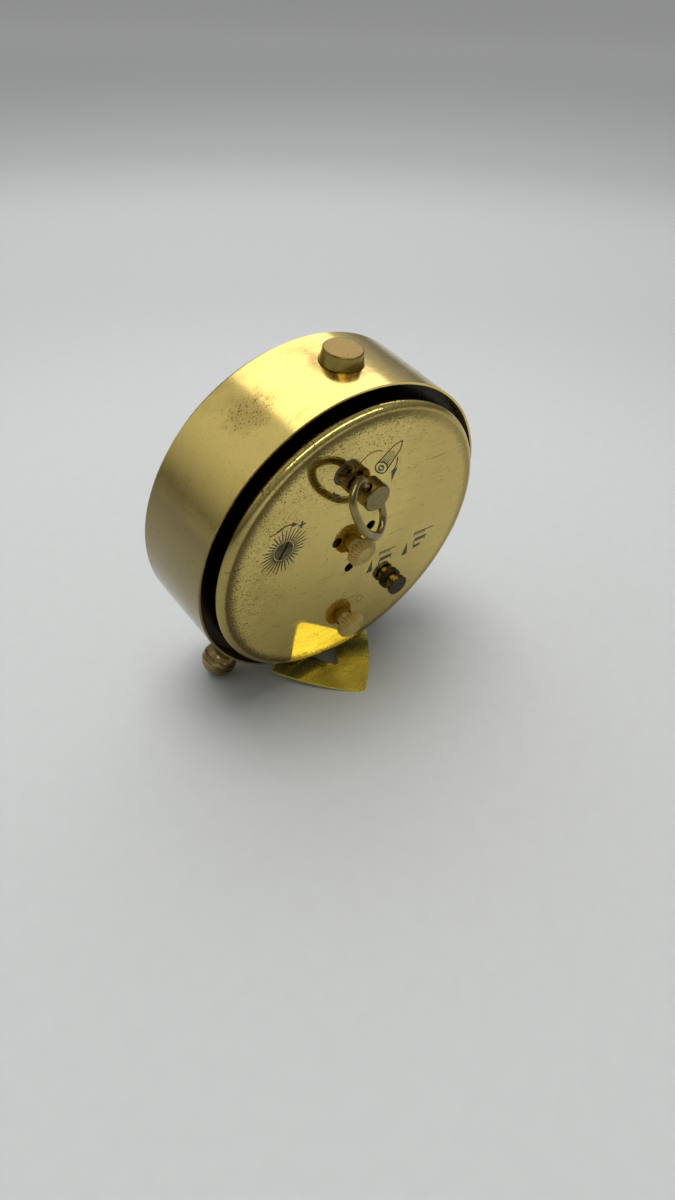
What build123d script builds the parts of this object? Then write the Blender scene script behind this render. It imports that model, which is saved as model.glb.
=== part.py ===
from build123d import *
import os
from math import asin, atan, atan2, cos, degrees, hypot, pi, radians, sin, sqrt

# Wind-up alarm clock in a round brass case that leans back on two ball feet and a rear strut.
# Millimetres, +Z up, the floor at Z = 0, the dial towards -Y. Every piece is set out on the back of
# the case: u to the right as seen from behind, v to the top of the case, w out of the back. w = 0 is
# the case's rear lip, and the whole case leans back about u.

# Stance
LEAN = 11.0
LIP_SETBACK = 7.06

# Case and front
CASE_RADIUS = 35.0
CASE_WALL = 0.45
CASE_DEPTH = 19.85
SLIP = 0.1
BEZEL_WALL = 0.95
BEZEL_TUBE = 1.25
BEZEL_REACH = 2.4
BEZEL_BORDER = 4.6
BEZEL_LIP = 1.0
BEZEL_BULGE = (0.85, 1.68)
CRYSTAL_EDGE = 1.2
CRYSTAL_RIM = 0.8
CRYSTAL_DOME = 2.2
DIAL_THICK = 0.5
DIAL_HOLE = 2.4
DIAL_PIN_RADIUS = 0.4
DIAL_PIN_INSET = 6.45
DIAL_GAP = 2.2

# Movement ring, plates and what joins them
RING_REAR = -3.0
RING_WALL = 1.0
RING_FLANGE = 1.0
RING_RIM_SHELF = 0.7
RING_SEAT = 0.8
RING_SEAT_WIDTH = 2.45
PLATE_THICK = 1.0
BACK_PLATE_REAR = 0.0
BACK_PLATE_INSET = 2.5
PILLAR_RADIUS = 1.5
PILLAR_END_RADIUS = 0.9
PILLAR_INSET = 2.5
PILLAR_ANGLES = (50, 135, 225, 320)
PILLAR_NUT_RADIUS = 1.7
PILLAR_NUT_THICK = 1.0
PLATE_SCREW_RADIUS = 0.6
PLATE_SCREW_HEAD = 1.1
PLATE_SCREW_HEAD_THICK = 0.5
PLATE_SCREW_INSET = 1.25
PLATE_SCREW_ANGLES = (60, 180, 300)
SCREW_SLOT_SHARE = 0.3
SCREW_SLOT_DEPTH_SHARE = 0.5

# Back cover
COVER_MARGIN = 2.5
COVER_WALL = 0.5
COVER_CORNER = 1.5
COVER_FACE = 3.4
COVER_RIM_HEIGHT = 1.2
COVER_RIM_WALL = 0.6
ACCESS_HOLE_RADIUS = 1.2
ACCESS_HOLES = ((-5.2, 2.7), (-0.3, -6.0), (3.3, 4.0))

# Where the controls stand on the back
HAND_AXIS = (0.0, 0.0)
ALARM_AXIS = (1.6, -22.15)
KEY_SIDE = -1.45
SHUT_OFF_AXIS = (13.2, -15.2)
REGULATOR_AXIS = (-18.7, 6.3)

# Setting knobs
KNOB_RADIUS = 3.35
KNOB_START = 1.6
KNOB_END = 3.7
KNOB_RIBS = 24
KNOB_RIB_RADIUS = 0.3
KNOB_RIB_RISE = 0.1
KNOB_CROWN = 0.75
KNOB_CROWN_SHARE = 0.35
KNOB_DISH_LIP = 0.2
KNOB_DISH_RADIUS = 1.75
KNOB_DISH_DEPTH = 0.45
KNOB_HUB_RADIUS = 1.75
KNOB_HUB_START = 1.0
KNOB_HOLE_RADIUS = 2.1
ARBOR_RADIUS = 0.8
FIT = 0.05
PIVOT_FIT = 0.02

# Winding key and its loose ring
KEY_RADIUS = 3.0
KEY_START = 1.1
KEY_END = 4.8
KEY_HUB_RADIUS = 1.5
KEY_HUB_START = 2.0
KEY_EDGE = 0.25
KEY_TURN = 38.1
KEY_HOLE_RADIUS = 1.05
KEY_HOLE_HEIGHT = 3.05
KEY_CLEAR_RADIUS = 2.0
WINDING_ARBOR_RADIUS = 1.0
BAIL_LIFT = 34.1
BAIL_HALF_BAR = 4.6
BAIL_CORNER = 3.2
BAIL_DROP = 7.4
BAIL_WIDTH = 0.92
BAIL_THICK = 0.72

# Shut-off knob
SHUT_OFF_BUSH_RADIUS = 2.6
SHUT_OFF_BUSH_HEIGHT = 0.6
SHUT_OFF_BUSH_BORE = 1.25
SHUT_OFF_FLANGE_RADIUS = 2.45
SHUT_OFF_FLANGE = 0.85
SHUT_OFF_NECK_RADIUS = 1.9
SHUT_OFF_GROOVE_RADIUS = 1.65
SHUT_OFF_GROOVE = 0.25
SHUT_OFF_END = 2.95
SHUT_OFF_ROD_RADIUS = 1.15
SHUT_OFF_ROD_END = -5.0

# Regulator
REGULATOR_RADIUS = 2.15
REGULATOR_SLOT = 0.5
REGULATOR_SLOT_DEPTH = 0.3
REGULATOR_SLOT_TURN = 67
REGULATOR_SHAFT_RADIUS = 0.8
REGULATOR_ARM_WIDTH = 1.0
REGULATOR_ARM_THICK = 0.4
REGULATOR_ARM_REAR = -1.6
REGULATOR_PIN_GAP = 0.6

# Press button on top
BUTTON_DEPTH = -9.8
BUTTON_BASE_RADIUS = 4.3
BUTTON_TOP_RADIUS = 3.85
BUTTON_HEIGHT = 2.7
BUTTON_SKIRT = 1.7
BUTTON_EDGE = 0.35
BUTTON_STEM_RADIUS = 1.0
BUTTON_BOSS_WALL = 0.6
BUTTON_BOSS_FLOOR = 1.0
BUTTON_BORE_DEPTH = 4.0
BUTTON_CLIP_RADIUS = 2.2
BUTTON_CLIP_THICK = 0.5
BUTTON_CLIP_GAP = 0.1
SPRING_WIRE = 0.3
SPRING_RADIUS = 2.6

# Ball feet
FOOT_ANGLE = 31.6
FOOT_DEPTH = -9.8
FOOT_STAND = 6.378
FOOT_BALL = 3.95
FOOT_FLAT = 0.1
FOOT_COLLAR_RADIUS = 2.9
FOOT_COLLAR = 1.1
FOOT_GROOVE_RADIUS = 2.2
FOOT_GROOVE = 0.35
FOOT_BEAD_RADIUS = 2.7
FOOT_BEAD = 0.7
FOOT_BAND = 1.3
FOOT_BAND_CUT = 0.3
FOOT_BAND_DEPTH = 0.3
FOOT_STUD_RADIUS = 1.25
FOOT_STUD_LENGTH = 3.6
FOOT_BOSS_RADIUS = 3.2
FOOT_BOSS_DEPTH = 4.6

# Rear strut
STRUT_THICK = 0.5
STRUT_HALF_WIDTH = 13.4
STRUT_ROOT = 1.0
STRUT_REACH = 14.75
STRUT_BULGE = (8.7, 6.9)
STRUT_POINT = 15.9
STRUT_TIP_RADIUS = 1.6
STRUT_FLAT = 0.06
STRUT_TONGUE = 12.5
STRUT_TONGUE_HALF = 5.0
STRUT_CUT_APEX = 6.6
STRUT_CUT_BASE = -1.6
STRUT_CUT_HALF = 4.5
STRUT_CUT_ROUND = 0.8
STRUT_SCREW_DEPTH = -8.0
STRUT_SCREW_RADIUS = 1.2
STRUT_SCREW_HEAD = 2.3
STRUT_SCREW_HEAD_THICK = 0.9

# Wheels: the tooth form is shared, and each pair's module comes from where its arbors stand. Each rise
# is a height over the front plate as it is with the plates DRAWN_PLATE_GAP apart.
DRAWN_PLATE_GAP = 13.9
ADDENDUM = 0.75
DEDENDUM = 1.05
TOOTH_SHARE = 0.34
TOOTH_TIP_SHARE = 0.2
WINDOW_CIRCLE_SHARE = 0.55
WINDOW_SHARE = 0.22
RATCHET_ROOT_SHARE = 0.74
WHEEL_THICK = 0.5
PINION_TEETH = 12
LEAF_TEETH = 8
BARREL_TEETH = 60
BARREL_CASE_GAP = 5.519
BARREL_STEP = 2.805
BARREL_WALL = 0.5
TIME_BARREL_FRONT_RISE = 1.0
TIME_BARREL_REAR_RISE = 5.5
ALARM_BARREL_FRONT_RISE = 7.3
ALARM_BARREL_REAR_RISE = 12.3
MAINSPRING_CORE = 4.0
CENTRE_TEETH = 64
CENTRE_PIPE_RADIUS = 1.35
CENTRE_WHEEL_RISE = 6.1
TRAIN_TEETH = 60
WHEEL_WINDOWS = 5
THIRD_DISTANCE = 8.64
THIRD_BEARING = -60
THIRD_WHEEL_RISE = 8.7
FOURTH_DISTANCE = 6.8
FOURTH_BEARING = -150
FOURTH_WHEEL_RISE = 4.3
ESCAPE_DISTANCE = 6.12
ESCAPE_BEARING = -170
ESCAPE_WHEEL_RISE = 7.3
ESCAPE_TEETH = 15
ESCAPE_RADIUS = 3.0
PALLET_DISTANCE = 4.4
PALLET_BEARING = 140
BALANCE_DISTANCE = 7.2
BALANCE_BEARING = 120
BALANCE_RADIUS = 6.0
BALANCE_RIM = 1.1
BALANCE_RISE = 9.7
BALANCE_THICK = 1.0
HAIRSPRING_RISE = 11.3
HAIRSPRING_RADIUS = 3.0
PIN_ARBOR_RADIUS = 0.45
SMALL_GAP = 0.25
LEVER_WIDTH = 0.7
PALLET_HALF_SPAN = 2.1
PALLET_ARM = 1.5
PALLET_ARM_WIDTH = 0.5
ROLLER_RADIUS = 1.1
BALANCE_SPOKE = 1.0
BALANCE_HUB = 1.4
STRIKE_BEARING = -35
STRIKE_WHEEL_RADIUS = 4.2
STRIKE_TEETH = 14
STRIKE_WHEEL_RISE = 3.5
HAMMER_AXIS = (19.5, 0.6)
HAMMER_HEAD_INSET = 3.13
HAMMER_HEAD_BEARING = 31
HAMMER_HUB = 1.3
HAMMER_WIDTH = 0.9
HAMMER_HEAD_RADIUS = 1.5
HAMMER_HEAD_LENGTH = 5.0
HAMMER_RISE = 3.5

# Motion work under the dial, and the hands
MINUTE_TEETH = 36
MINUTE_PINION_TEETH = 10
HOUR_TEETH = 40
MINUTE_AXIS = (4.24, 4.24)
MINUTE_WHEEL_DROP = 0.6
CANNON_PIPE_RADIUS = 1.15
HOUR_PIPE_RADIUS = 1.65
ALARM_PIPE_RADIUS = 2.15
PIPE_GAP = 0.1
ALARM_WHEEL_TEETH = 80
ALARM_PINION_TEETH = 20
ALARM_WHEEL_GAP = 0.3
THIN_WHEEL = 0.4
MINUTE_PINION_SHARE = 1.5
HAND_THICK = 0.2
HAND_STEP = 0.8
ALARM_HAND_LENGTH = 11.0
HOUR_HAND_LENGTH = 16.0
MINUTE_HAND_LENGTH = 24.0
ALARM_HAND_WIDTH = 0.5
HOUR_HAND_WIDTH = 1.2
MINUTE_HAND_WIDTH = 0.9
ALARM_HAND_HUB = 2.9
HOUR_HAND_HUB = 2.6
MINUTE_HAND_HUB = 2.1
HAND_BELLY_SHARE = 0.55
HAND_ROOT_SHARE = 0.8
HAND_ROOT_SPREAD = 40
ALARM_HAND_ANGLE = 210.0
HOUR_HAND_ANGLE = 304.5
MINUTE_HAND_ANGLE = 54.0

# Radii that follow from the case's
case_bore = CASE_RADIUS - CASE_WALL
front_radius = case_bore - SLIP
ring_bore = front_radius - RING_WALL
seat_bore = ring_bore - RING_SEAT_WIDTH
bezel_opening = CASE_RADIUS - BEZEL_BORDER
cover_radius = CASE_RADIUS - COVER_MARGIN
cover_bore = cover_radius - COVER_WALL
rim_radius = cover_bore - SLIP
flange_bore = rim_radius - COVER_RIM_WALL - RING_RIM_SHELF
back_plate_radius = cover_bore - BACK_PLATE_INSET
pillar_circle = back_plate_radius - PILLAR_INSET
plate_screw_circle = ring_bore - PLATE_SCREW_INSET
dial_pin_circle = front_radius - DIAL_PIN_INSET

# The winding axis stands where the barrels' teeth reach from the centre pinion to a gap under the case.
# Each barrel is a step narrower than its teeth.
pinion_sum = BARREL_TEETH + PINION_TEETH
barrel_reach = (BARREL_TEETH + 2 * ADDENDUM) / pinion_sum
key_axis = (KEY_SIDE, (CASE_RADIUS - BARREL_CASE_GAP) / (1 + barrel_reach))
barrel_radius = hypot(*key_axis) * BARREL_TEETH / pinion_sum - BARREL_STEP

# The case's height over the floor follows from the feet that it stands on
foot_ball_centre = CASE_RADIUS + FOOT_STAND
ball_height = foot_ball_centre * cos(radians(FOOT_ANGLE)) * cos(radians(LEAN))
rest_drop = ball_height + FOOT_DEPTH * sin(radians(LEAN)) + FOOT_BALL - FOOT_FLAT

# Levels that follow from the sizes above
bezel_rear = -CASE_DEPTH + BEZEL_TUBE
dial_front = bezel_rear
dial_rear = dial_front + DIAL_THICK
front_plate_front = dial_rear + DIAL_GAP
front_plate_rear = front_plate_front + PLATE_THICK
back_plate_front = BACK_PLATE_REAR - PLATE_THICK
plate_gap = back_plate_front - front_plate_rear
cover_inside = COVER_FACE - COVER_WALL
knob_front = COVER_FACE + KNOB_START
knob_rear = COVER_FACE + KNOB_END
key_front = COVER_FACE + KEY_START
key_rear = COVER_FACE + KEY_END
bail_height = COVER_FACE + KEY_HOLE_HEIGHT
minute_wheel_level = front_plate_front - MINUTE_WHEEL_DROP
alarm_wheel_level = dial_rear + ALARM_WHEEL_GAP

back = Plane(
    origin=(0, LIP_SETBACK, rest_drop),
    x_dir=(-1, 0, 0),
    z_dir=(0, cos(radians(LEAN)), -sin(radians(LEAN))),
)


def at(u, v, w):
    """Point of the world at u, v on the back of the case and w out of it."""
    return back.from_local_coords((u, v, w))


def polar(centre, distance, bearing):
    """Point at a distance from a centre, its bearing in degrees up from u."""
    u = centre[0] + distance * cos(radians(bearing))
    v = centre[1] + distance * sin(radians(bearing))
    return (u, v)


def apart(first, second):
    """Distance between two axes."""
    return hypot(second[0] - first[0], second[1] - first[1])


def bearing_of(first, second):
    """Bearing in degrees of the second axis seen from the first."""
    return degrees(atan2(second[1] - first[1], second[0] - first[0]))


def profile_plane(centre=(0, 0)):
    """Plane for a turned outline: its x is the radius from the centre, its y is w."""
    return Plane(origin=at(centre[0], centre[1], 0), x_dir=back.x_dir, z_dir=-back.y_dir)


def turning_axis(centre=(0, 0)):
    """Axis out of the back through a centre."""
    return Axis(at(centre[0], centre[1], 0), back.z_dir)


def radial_plane(angle, depth):
    """Plane through the case's axis whose normal leaves the case at an angle from the top."""
    outward = back.x_dir * sin(radians(angle)) + back.y_dir * cos(radians(angle))
    return Plane(origin=at(0, 0, depth), x_dir=back.z_dir, z_dir=outward)


def radial_profile_plane(angle, depth):
    """Plane for an outline turned about a radius: its x is across the radius, its y along it."""
    outward = back.x_dir * sin(radians(angle)) + back.y_dir * cos(radians(angle))
    return Plane(origin=at(0, 0, depth), x_dir=back.z_dir, z_dir=back.z_dir.cross(outward))


def radial_axis(angle, depth):
    """Axis that leaves the case at an angle from the top."""
    outward = back.x_dir * sin(radians(angle)) + back.y_dir * cos(radians(angle))
    return Axis(at(0, 0, depth), outward)


def level(rise):
    """Level between the plates for a rise drawn with the plates DRAWN_PLATE_GAP apart."""
    return front_plate_rear + rise * plate_gap / DRAWN_PLATE_GAP


def save(name, piece):
    """Name a finished piece and write its file."""
    piece.label = name
    export_step(piece, f"parts/{name}.step")


def turned(centre, steps):
    """Stepped shaft about an axis out of the back, one radius, start and end for each step."""
    with BuildPart() as shaft:
        for radius, start, end in steps:
            with BuildSketch(back.offset(start)):
                with Locations(centre):
                    Circle(radius)
            extrude(amount=end - start)
    return shaft.part


def tooth_points(centre, teeth, module, phase):
    """Corners of a spur wheel's outline, its first tooth at the phase in degrees."""
    pitch_radius = module * teeth / 2
    root = pitch_radius - DEDENDUM * module
    tip = pitch_radius + ADDENDUM * module
    root_half = degrees(pi * module * TOOTH_SHARE / 2 / root)
    tip_half = degrees(pi * module * TOOTH_TIP_SHARE / 2 / tip)
    corners = []
    for tooth in range(teeth):
        middle = phase + 360 * tooth / teeth
        corners.append(polar(centre, root, middle - root_half))
        corners.append(polar(centre, tip, middle - tip_half))
        corners.append(polar(centre, tip, middle + tip_half))
        corners.append(polar(centre, root, middle + root_half))
    return corners


def toothed(centre, teeth, module, phase, start, thick, bore, windows=0):
    """Spur wheel or pinion with a bore and, on a wheel, round windows between hub and rim."""
    pitch_radius = module * teeth / 2
    with BuildPart() as wheel:
        with BuildSketch(back.offset(start)):
            with BuildLine():
                Polyline(*tooth_points(centre, teeth, module, phase), close=True)
            make_face()
            with Locations(centre):
                Circle(bore, mode=Mode.SUBTRACT)
            if windows:
                with Locations(centre):
                    with PolarLocations(pitch_radius * WINDOW_CIRCLE_SHARE, windows):
                        Circle(pitch_radius * WINDOW_SHARE, mode=Mode.SUBTRACT)
        extrude(amount=thick)
    return wheel.part


def ratchet(centre, teeth, radius, start, thick, bore):
    """Wheel with long pointed teeth, for the escapement and for the strike."""
    corners = []
    for tooth in range(teeth):
        middle = 360 * tooth / teeth
        corners.append(polar(centre, radius * RATCHET_ROOT_SHARE, middle - 180 / teeth))
        corners.append(polar(centre, radius, middle))
    with BuildPart() as wheel:
        with BuildSketch(back.offset(start)):
            with BuildLine():
                Polyline(*corners, close=True)
            make_face()
            with Locations(centre):
                Circle(bore, mode=Mode.SUBTRACT)
        extrude(amount=thick)
    return wheel.part


def pair_module(first, second, first_teeth, second_teeth):
    """Module that makes two wheels on given axes mesh."""
    return 2 * apart(first, second) / (first_teeth + second_teeth)


def facing_gap(first, second, second_teeth):
    """Phase that turns a gap of the second wheel to the first wheel."""
    return bearing_of(second, first) + 180 / second_teeth


def plate(radius, start, holes):
    """Movement plate with its pivot holes, given as centre and radius."""
    with BuildPart() as sheet:
        with BuildSketch(back.offset(start)):
            Circle(radius)
            for centre, hole in holes:
                with Locations(centre):
                    Circle(hole, mode=Mode.SUBTRACT)
        extrude(amount=PLATE_THICK)
    return sheet.part


def slotted_screw(plane, shank_radius, shank_length, head_radius, head_thick):
    """Cheese-head screw: the head rises from the plane and the shank goes behind it."""
    with BuildPart() as screw:
        with BuildSketch(plane):
            Circle(head_radius)
        extrude(amount=head_thick)
        with BuildSketch(plane):
            Circle(shank_radius)
        extrude(amount=-shank_length)
        with BuildSketch(plane.offset(head_thick)):
            Rectangle(3 * head_radius, head_radius * SCREW_SLOT_SHARE)
        extrude(amount=-head_thick * SCREW_SLOT_DEPTH_SHARE, mode=Mode.SUBTRACT)
    return screw.part


def setting_knob(centre):
    """Ribbed knob with a crowned and dished end, on a hub that reaches through the cover."""
    crown_width = KNOB_RADIUS - KNOB_DISH_RADIUS - KNOB_DISH_LIP
    crown_middle = (KNOB_RADIUS - KNOB_CROWN_SHARE * crown_width, knob_rear - KNOB_CROWN_SHARE * KNOB_CROWN)
    with BuildPart() as knob:
        with BuildSketch(profile_plane(centre)):
            with BuildLine():
                Polyline(
                    (KNOB_DISH_RADIUS + KNOB_DISH_LIP, knob_rear),
                    (KNOB_DISH_RADIUS, knob_rear),
                    (KNOB_DISH_RADIUS, knob_rear - KNOB_DISH_DEPTH),
                    (ARBOR_RADIUS + PIVOT_FIT, knob_rear - KNOB_DISH_DEPTH),
                    (ARBOR_RADIUS + PIVOT_FIT, KNOB_HUB_START),
                    (KNOB_HUB_RADIUS, KNOB_HUB_START),
                    (KNOB_HUB_RADIUS, knob_front),
                    (KNOB_RADIUS, knob_front),
                    (KNOB_RADIUS, knob_rear - KNOB_CROWN),
                    (crown_middle[0], crown_middle[1]),
                    close=True,
                )
            make_face()
        revolve(axis=turning_axis(centre))
        with BuildSketch(back.offset(knob_front)):
            with Locations(centre):
                with PolarLocations(KNOB_RADIUS + KNOB_RIB_RISE, KNOB_RIBS):
                    Circle(KNOB_RIB_RADIUS)
        extrude(amount=knob_rear - knob_front, mode=Mode.SUBTRACT)
    return knob.part


def hand(angle, length, start, bore, hub, width):
    """Flat pointed hand, its angle clockwise from the top as seen from the dial side."""
    bearing = 90 + angle
    with BuildPart() as pointer:
        with BuildSketch(back.offset(start)):
            Circle(hub)
            with BuildLine():
                Polyline(
                    polar((0, 0), hub * HAND_ROOT_SHARE, bearing - HAND_ROOT_SPREAD),
                    polar((0, 0), length * HAND_BELLY_SHARE, bearing - degrees(width / length)),
                    polar((0, 0), length, bearing),
                    polar((0, 0), length * HAND_BELLY_SHARE, bearing + degrees(width / length)),
                    polar((0, 0), hub * HAND_ROOT_SHARE, bearing + HAND_ROOT_SPREAD),
                    close=True,
                )
            make_face()
            Circle(bore, mode=Mode.SUBTRACT)
        extrude(amount=HAND_THICK)
    return pointer.part


os.makedirs("parts", exist_ok=True)

# Axes of the going train and of the strike
third_axis = polar(HAND_AXIS, THIRD_DISTANCE, THIRD_BEARING)
fourth_axis = polar(third_axis, FOURTH_DISTANCE, FOURTH_BEARING)
escape_axis = polar(fourth_axis, ESCAPE_DISTANCE, ESCAPE_BEARING)
pallet_axis = polar(escape_axis, PALLET_DISTANCE, PALLET_BEARING)
balance_axis = polar(pallet_axis, BALANCE_DISTANCE, BALANCE_BEARING)
strike_axis = polar(key_axis, apart(key_axis, HAND_AXIS), STRIKE_BEARING)
hammer_head = polar((0, 0), ring_bore - HAMMER_HEAD_INSET, HAMMER_HEAD_BEARING)
pillar_places = [polar((0, 0), pillar_circle, angle) for angle in PILLAR_ANGLES]
plate_screw_places = [polar((0, 0), plate_screw_circle, 90 - angle) for angle in PLATE_SCREW_ANGLES]
dial_pin_places = [(dial_pin_circle, 0), (-dial_pin_circle, 0)]

# Levels of the wheels between the plates
time_barrel_front = level(TIME_BARREL_FRONT_RISE)
time_barrel_rear = level(TIME_BARREL_REAR_RISE)
alarm_barrel_front = level(ALARM_BARREL_FRONT_RISE)
alarm_barrel_rear = level(ALARM_BARREL_REAR_RISE)
centre_wheel_level = level(CENTRE_WHEEL_RISE)
third_wheel_level = level(THIRD_WHEEL_RISE)
fourth_wheel_level = level(FOURTH_WHEEL_RISE)
escape_wheel_level = level(ESCAPE_WHEEL_RISE)
balance_level = level(BALANCE_RISE)
hairspring_level = level(HAIRSPRING_RISE)
strike_wheel_level = level(STRIKE_WHEEL_RISE)
hammer_level = level(HAMMER_RISE)

# Case drum: thin tube with holes for the button, the feet and the strut's screw
with BuildPart() as case_drum:
    with BuildSketch(back.offset(-CASE_DEPTH)):
        Circle(CASE_RADIUS)
        Circle(case_bore, mode=Mode.SUBTRACT)
    extrude(amount=CASE_DEPTH)
    with BuildSketch(radial_plane(0, BUTTON_DEPTH)):
        Circle(BUTTON_BASE_RADIUS + SLIP)
    extrude(amount=2 * CASE_RADIUS, mode=Mode.SUBTRACT)
    for side in (-1, 1):
        with BuildSketch(radial_plane(180 + side * FOOT_ANGLE, FOOT_DEPTH)):
            Circle(FOOT_STUD_RADIUS + SLIP)
        extrude(amount=2 * CASE_RADIUS, mode=Mode.SUBTRACT)
    with BuildSketch(radial_plane(180, STRUT_SCREW_DEPTH)):
        Circle(STRUT_SCREW_RADIUS + SLIP)
    extrude(amount=2 * CASE_RADIUS, mode=Mode.SUBTRACT)
save("case_drum", case_drum.part)

# Front bezel: pressed into the drum, its rounded nose turns in over the crystal
bezel_nose = -CASE_DEPTH - BEZEL_REACH
crystal_seat = bezel_nose + BEZEL_LIP
crystal_radius = bezel_opening + CRYSTAL_EDGE
nose_start = (front_radius, -CASE_DEPTH)
nose_bulge = (front_radius - BEZEL_BULGE[0], -CASE_DEPTH - BEZEL_BULGE[1])
nose_end = (crystal_radius, bezel_nose)
with BuildPart() as front_bezel:
    with BuildSketch(profile_plane()):
        with BuildLine():
            Line((front_radius, bezel_rear), nose_start)
            ThreePointArc(nose_start, nose_bulge, nose_end)
            Polyline(
                nose_end,
                (bezel_opening, bezel_nose),
                (bezel_opening, crystal_seat),
                (crystal_radius + SLIP, crystal_seat),
                (crystal_radius + SLIP, crystal_seat + CRYSTAL_RIM + SLIP),
                (front_radius - BEZEL_WALL, bezel_rear - SLIP),
                (front_radius - BEZEL_WALL, bezel_rear),
                (front_radius, bezel_rear),
            )
        make_face()
    revolve(axis=turning_axis())
save("front_bezel", front_bezel.part)

# Crystal: low dome with a flat rim that seats behind the bezel's lip
with BuildPart() as crystal:
    with BuildSketch(profile_plane()):
        dome_radius = bezel_opening - 2 * SLIP
        dome_front = crystal_seat - CRYSTAL_DOME
        dome_sphere = (dome_radius**2 + CRYSTAL_DOME**2) / (2 * CRYSTAL_DOME)
        half_sag = dome_sphere - sqrt(dome_sphere**2 - (dome_radius / 2) ** 2)
        half_dome = (dome_radius / 2, dome_front + half_sag)
        with BuildLine():
            ThreePointArc((0, dome_front), half_dome, (dome_radius, crystal_seat))
            Polyline(
                (dome_radius, crystal_seat),
                (crystal_radius, crystal_seat),
                (crystal_radius, crystal_seat + CRYSTAL_RIM),
                (dome_radius, crystal_seat + CRYSTAL_RIM),
            )
            ThreePointArc(
                (dome_radius, crystal_seat + CRYSTAL_RIM),
                (half_dome[0], half_dome[1] + CRYSTAL_RIM),
                (0, dome_front + CRYSTAL_RIM),
            )
            Line((0, dome_front + CRYSTAL_RIM), (0, dome_front))
        make_face()
    revolve(axis=turning_axis())
save("crystal", crystal.part)

# Dial: disc with a middle hole and two pins that locate it in the front plate
with BuildPart() as dial:
    with BuildSketch(back.offset(dial_front)):
        Circle(front_radius)
        Circle(DIAL_HOLE, mode=Mode.SUBTRACT)
    extrude(amount=DIAL_THICK)
    with BuildSketch(back.offset(dial_rear)):
        with Locations(*dial_pin_places):
            Circle(DIAL_PIN_RADIUS)
    extrude(amount=front_plate_rear - dial_rear)
save("dial", dial.part)

# Dial spacer: ring that carries the dial on the movement ring's front edge
with BuildPart() as dial_spacer:
    with BuildSketch(back.offset(dial_rear)):
        Circle(front_radius)
        Circle(front_radius - RING_WALL, mode=Mode.SUBTRACT)
    extrude(amount=front_plate_front - dial_rear)
save("dial_spacer", dial_spacer.part)

# Movement ring: dark ring inside the drum that takes the feet, the strut's screw, the button and the plates
button_bore_floor = CASE_RADIUS - BUTTON_BORE_DEPTH
boss_end = button_bore_floor - BUTTON_BOSS_FLOOR
foot_boss_end = CASE_RADIUS - FOOT_BOSS_DEPTH
boss_root = ring_bore + 2 * SLIP
with BuildPart() as movement_ring:
    with BuildSketch(back.offset(front_plate_front)):
        Circle(front_radius)
        Circle(ring_bore, mode=Mode.SUBTRACT)
    extrude(amount=RING_REAR - front_plate_front)
    with BuildSketch(back.offset(RING_REAR - RING_FLANGE)):
        Circle(ring_bore + SLIP)
        Circle(flange_bore, mode=Mode.SUBTRACT)
    extrude(amount=RING_FLANGE)
    with BuildSketch(back.offset(RING_REAR)):
        Circle(rim_radius)
        Circle(rim_radius - COVER_RIM_WALL, mode=Mode.SUBTRACT)
    extrude(amount=COVER_RIM_HEIGHT)
    with BuildSketch(back.offset(front_plate_rear)):
        Circle(ring_bore + SLIP)
        Circle(seat_bore, mode=Mode.SUBTRACT)
    extrude(amount=RING_SEAT)
    with BuildSketch(radial_plane(0, BUTTON_DEPTH).offset(boss_end)):
        Circle(BUTTON_BASE_RADIUS + SLIP + BUTTON_BOSS_WALL)
    extrude(amount=boss_root - boss_end)
    for side in (-1, 1):
        with BuildSketch(radial_plane(180 + side * FOOT_ANGLE, FOOT_DEPTH).offset(foot_boss_end)):
            Circle(FOOT_BOSS_RADIUS)
        extrude(amount=boss_root - foot_boss_end)
    with BuildSketch(radial_plane(180, STRUT_SCREW_DEPTH).offset(foot_boss_end)):
        Circle(FOOT_BOSS_RADIUS)
    extrude(amount=boss_root - foot_boss_end)
    with BuildSketch(radial_plane(0, BUTTON_DEPTH).offset(button_bore_floor)):
        Circle(BUTTON_BASE_RADIUS + SLIP)
    extrude(amount=BUTTON_BORE_DEPTH, mode=Mode.SUBTRACT)
    with BuildSketch(radial_plane(0, BUTTON_DEPTH)):
        Circle(BUTTON_STEM_RADIUS + FIT)
    extrude(amount=CASE_RADIUS, mode=Mode.SUBTRACT)
    for side in (-1, 1):
        with BuildSketch(radial_plane(180 + side * FOOT_ANGLE, FOOT_DEPTH)):
            Circle(FOOT_STUD_RADIUS + PIVOT_FIT)
        extrude(amount=CASE_RADIUS, mode=Mode.SUBTRACT)
    with BuildSketch(radial_plane(180, STRUT_SCREW_DEPTH)):
        Circle(STRUT_SCREW_RADIUS + PIVOT_FIT)
    extrude(amount=CASE_RADIUS, mode=Mode.SUBTRACT)
    with BuildSketch(back.offset(front_plate_rear)):
        with Locations(*plate_screw_places):
            Circle(PLATE_SCREW_RADIUS + PIVOT_FIT)
    extrude(amount=RING_SEAT, mode=Mode.SUBTRACT)
save("movement_ring", movement_ring.part)

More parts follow.
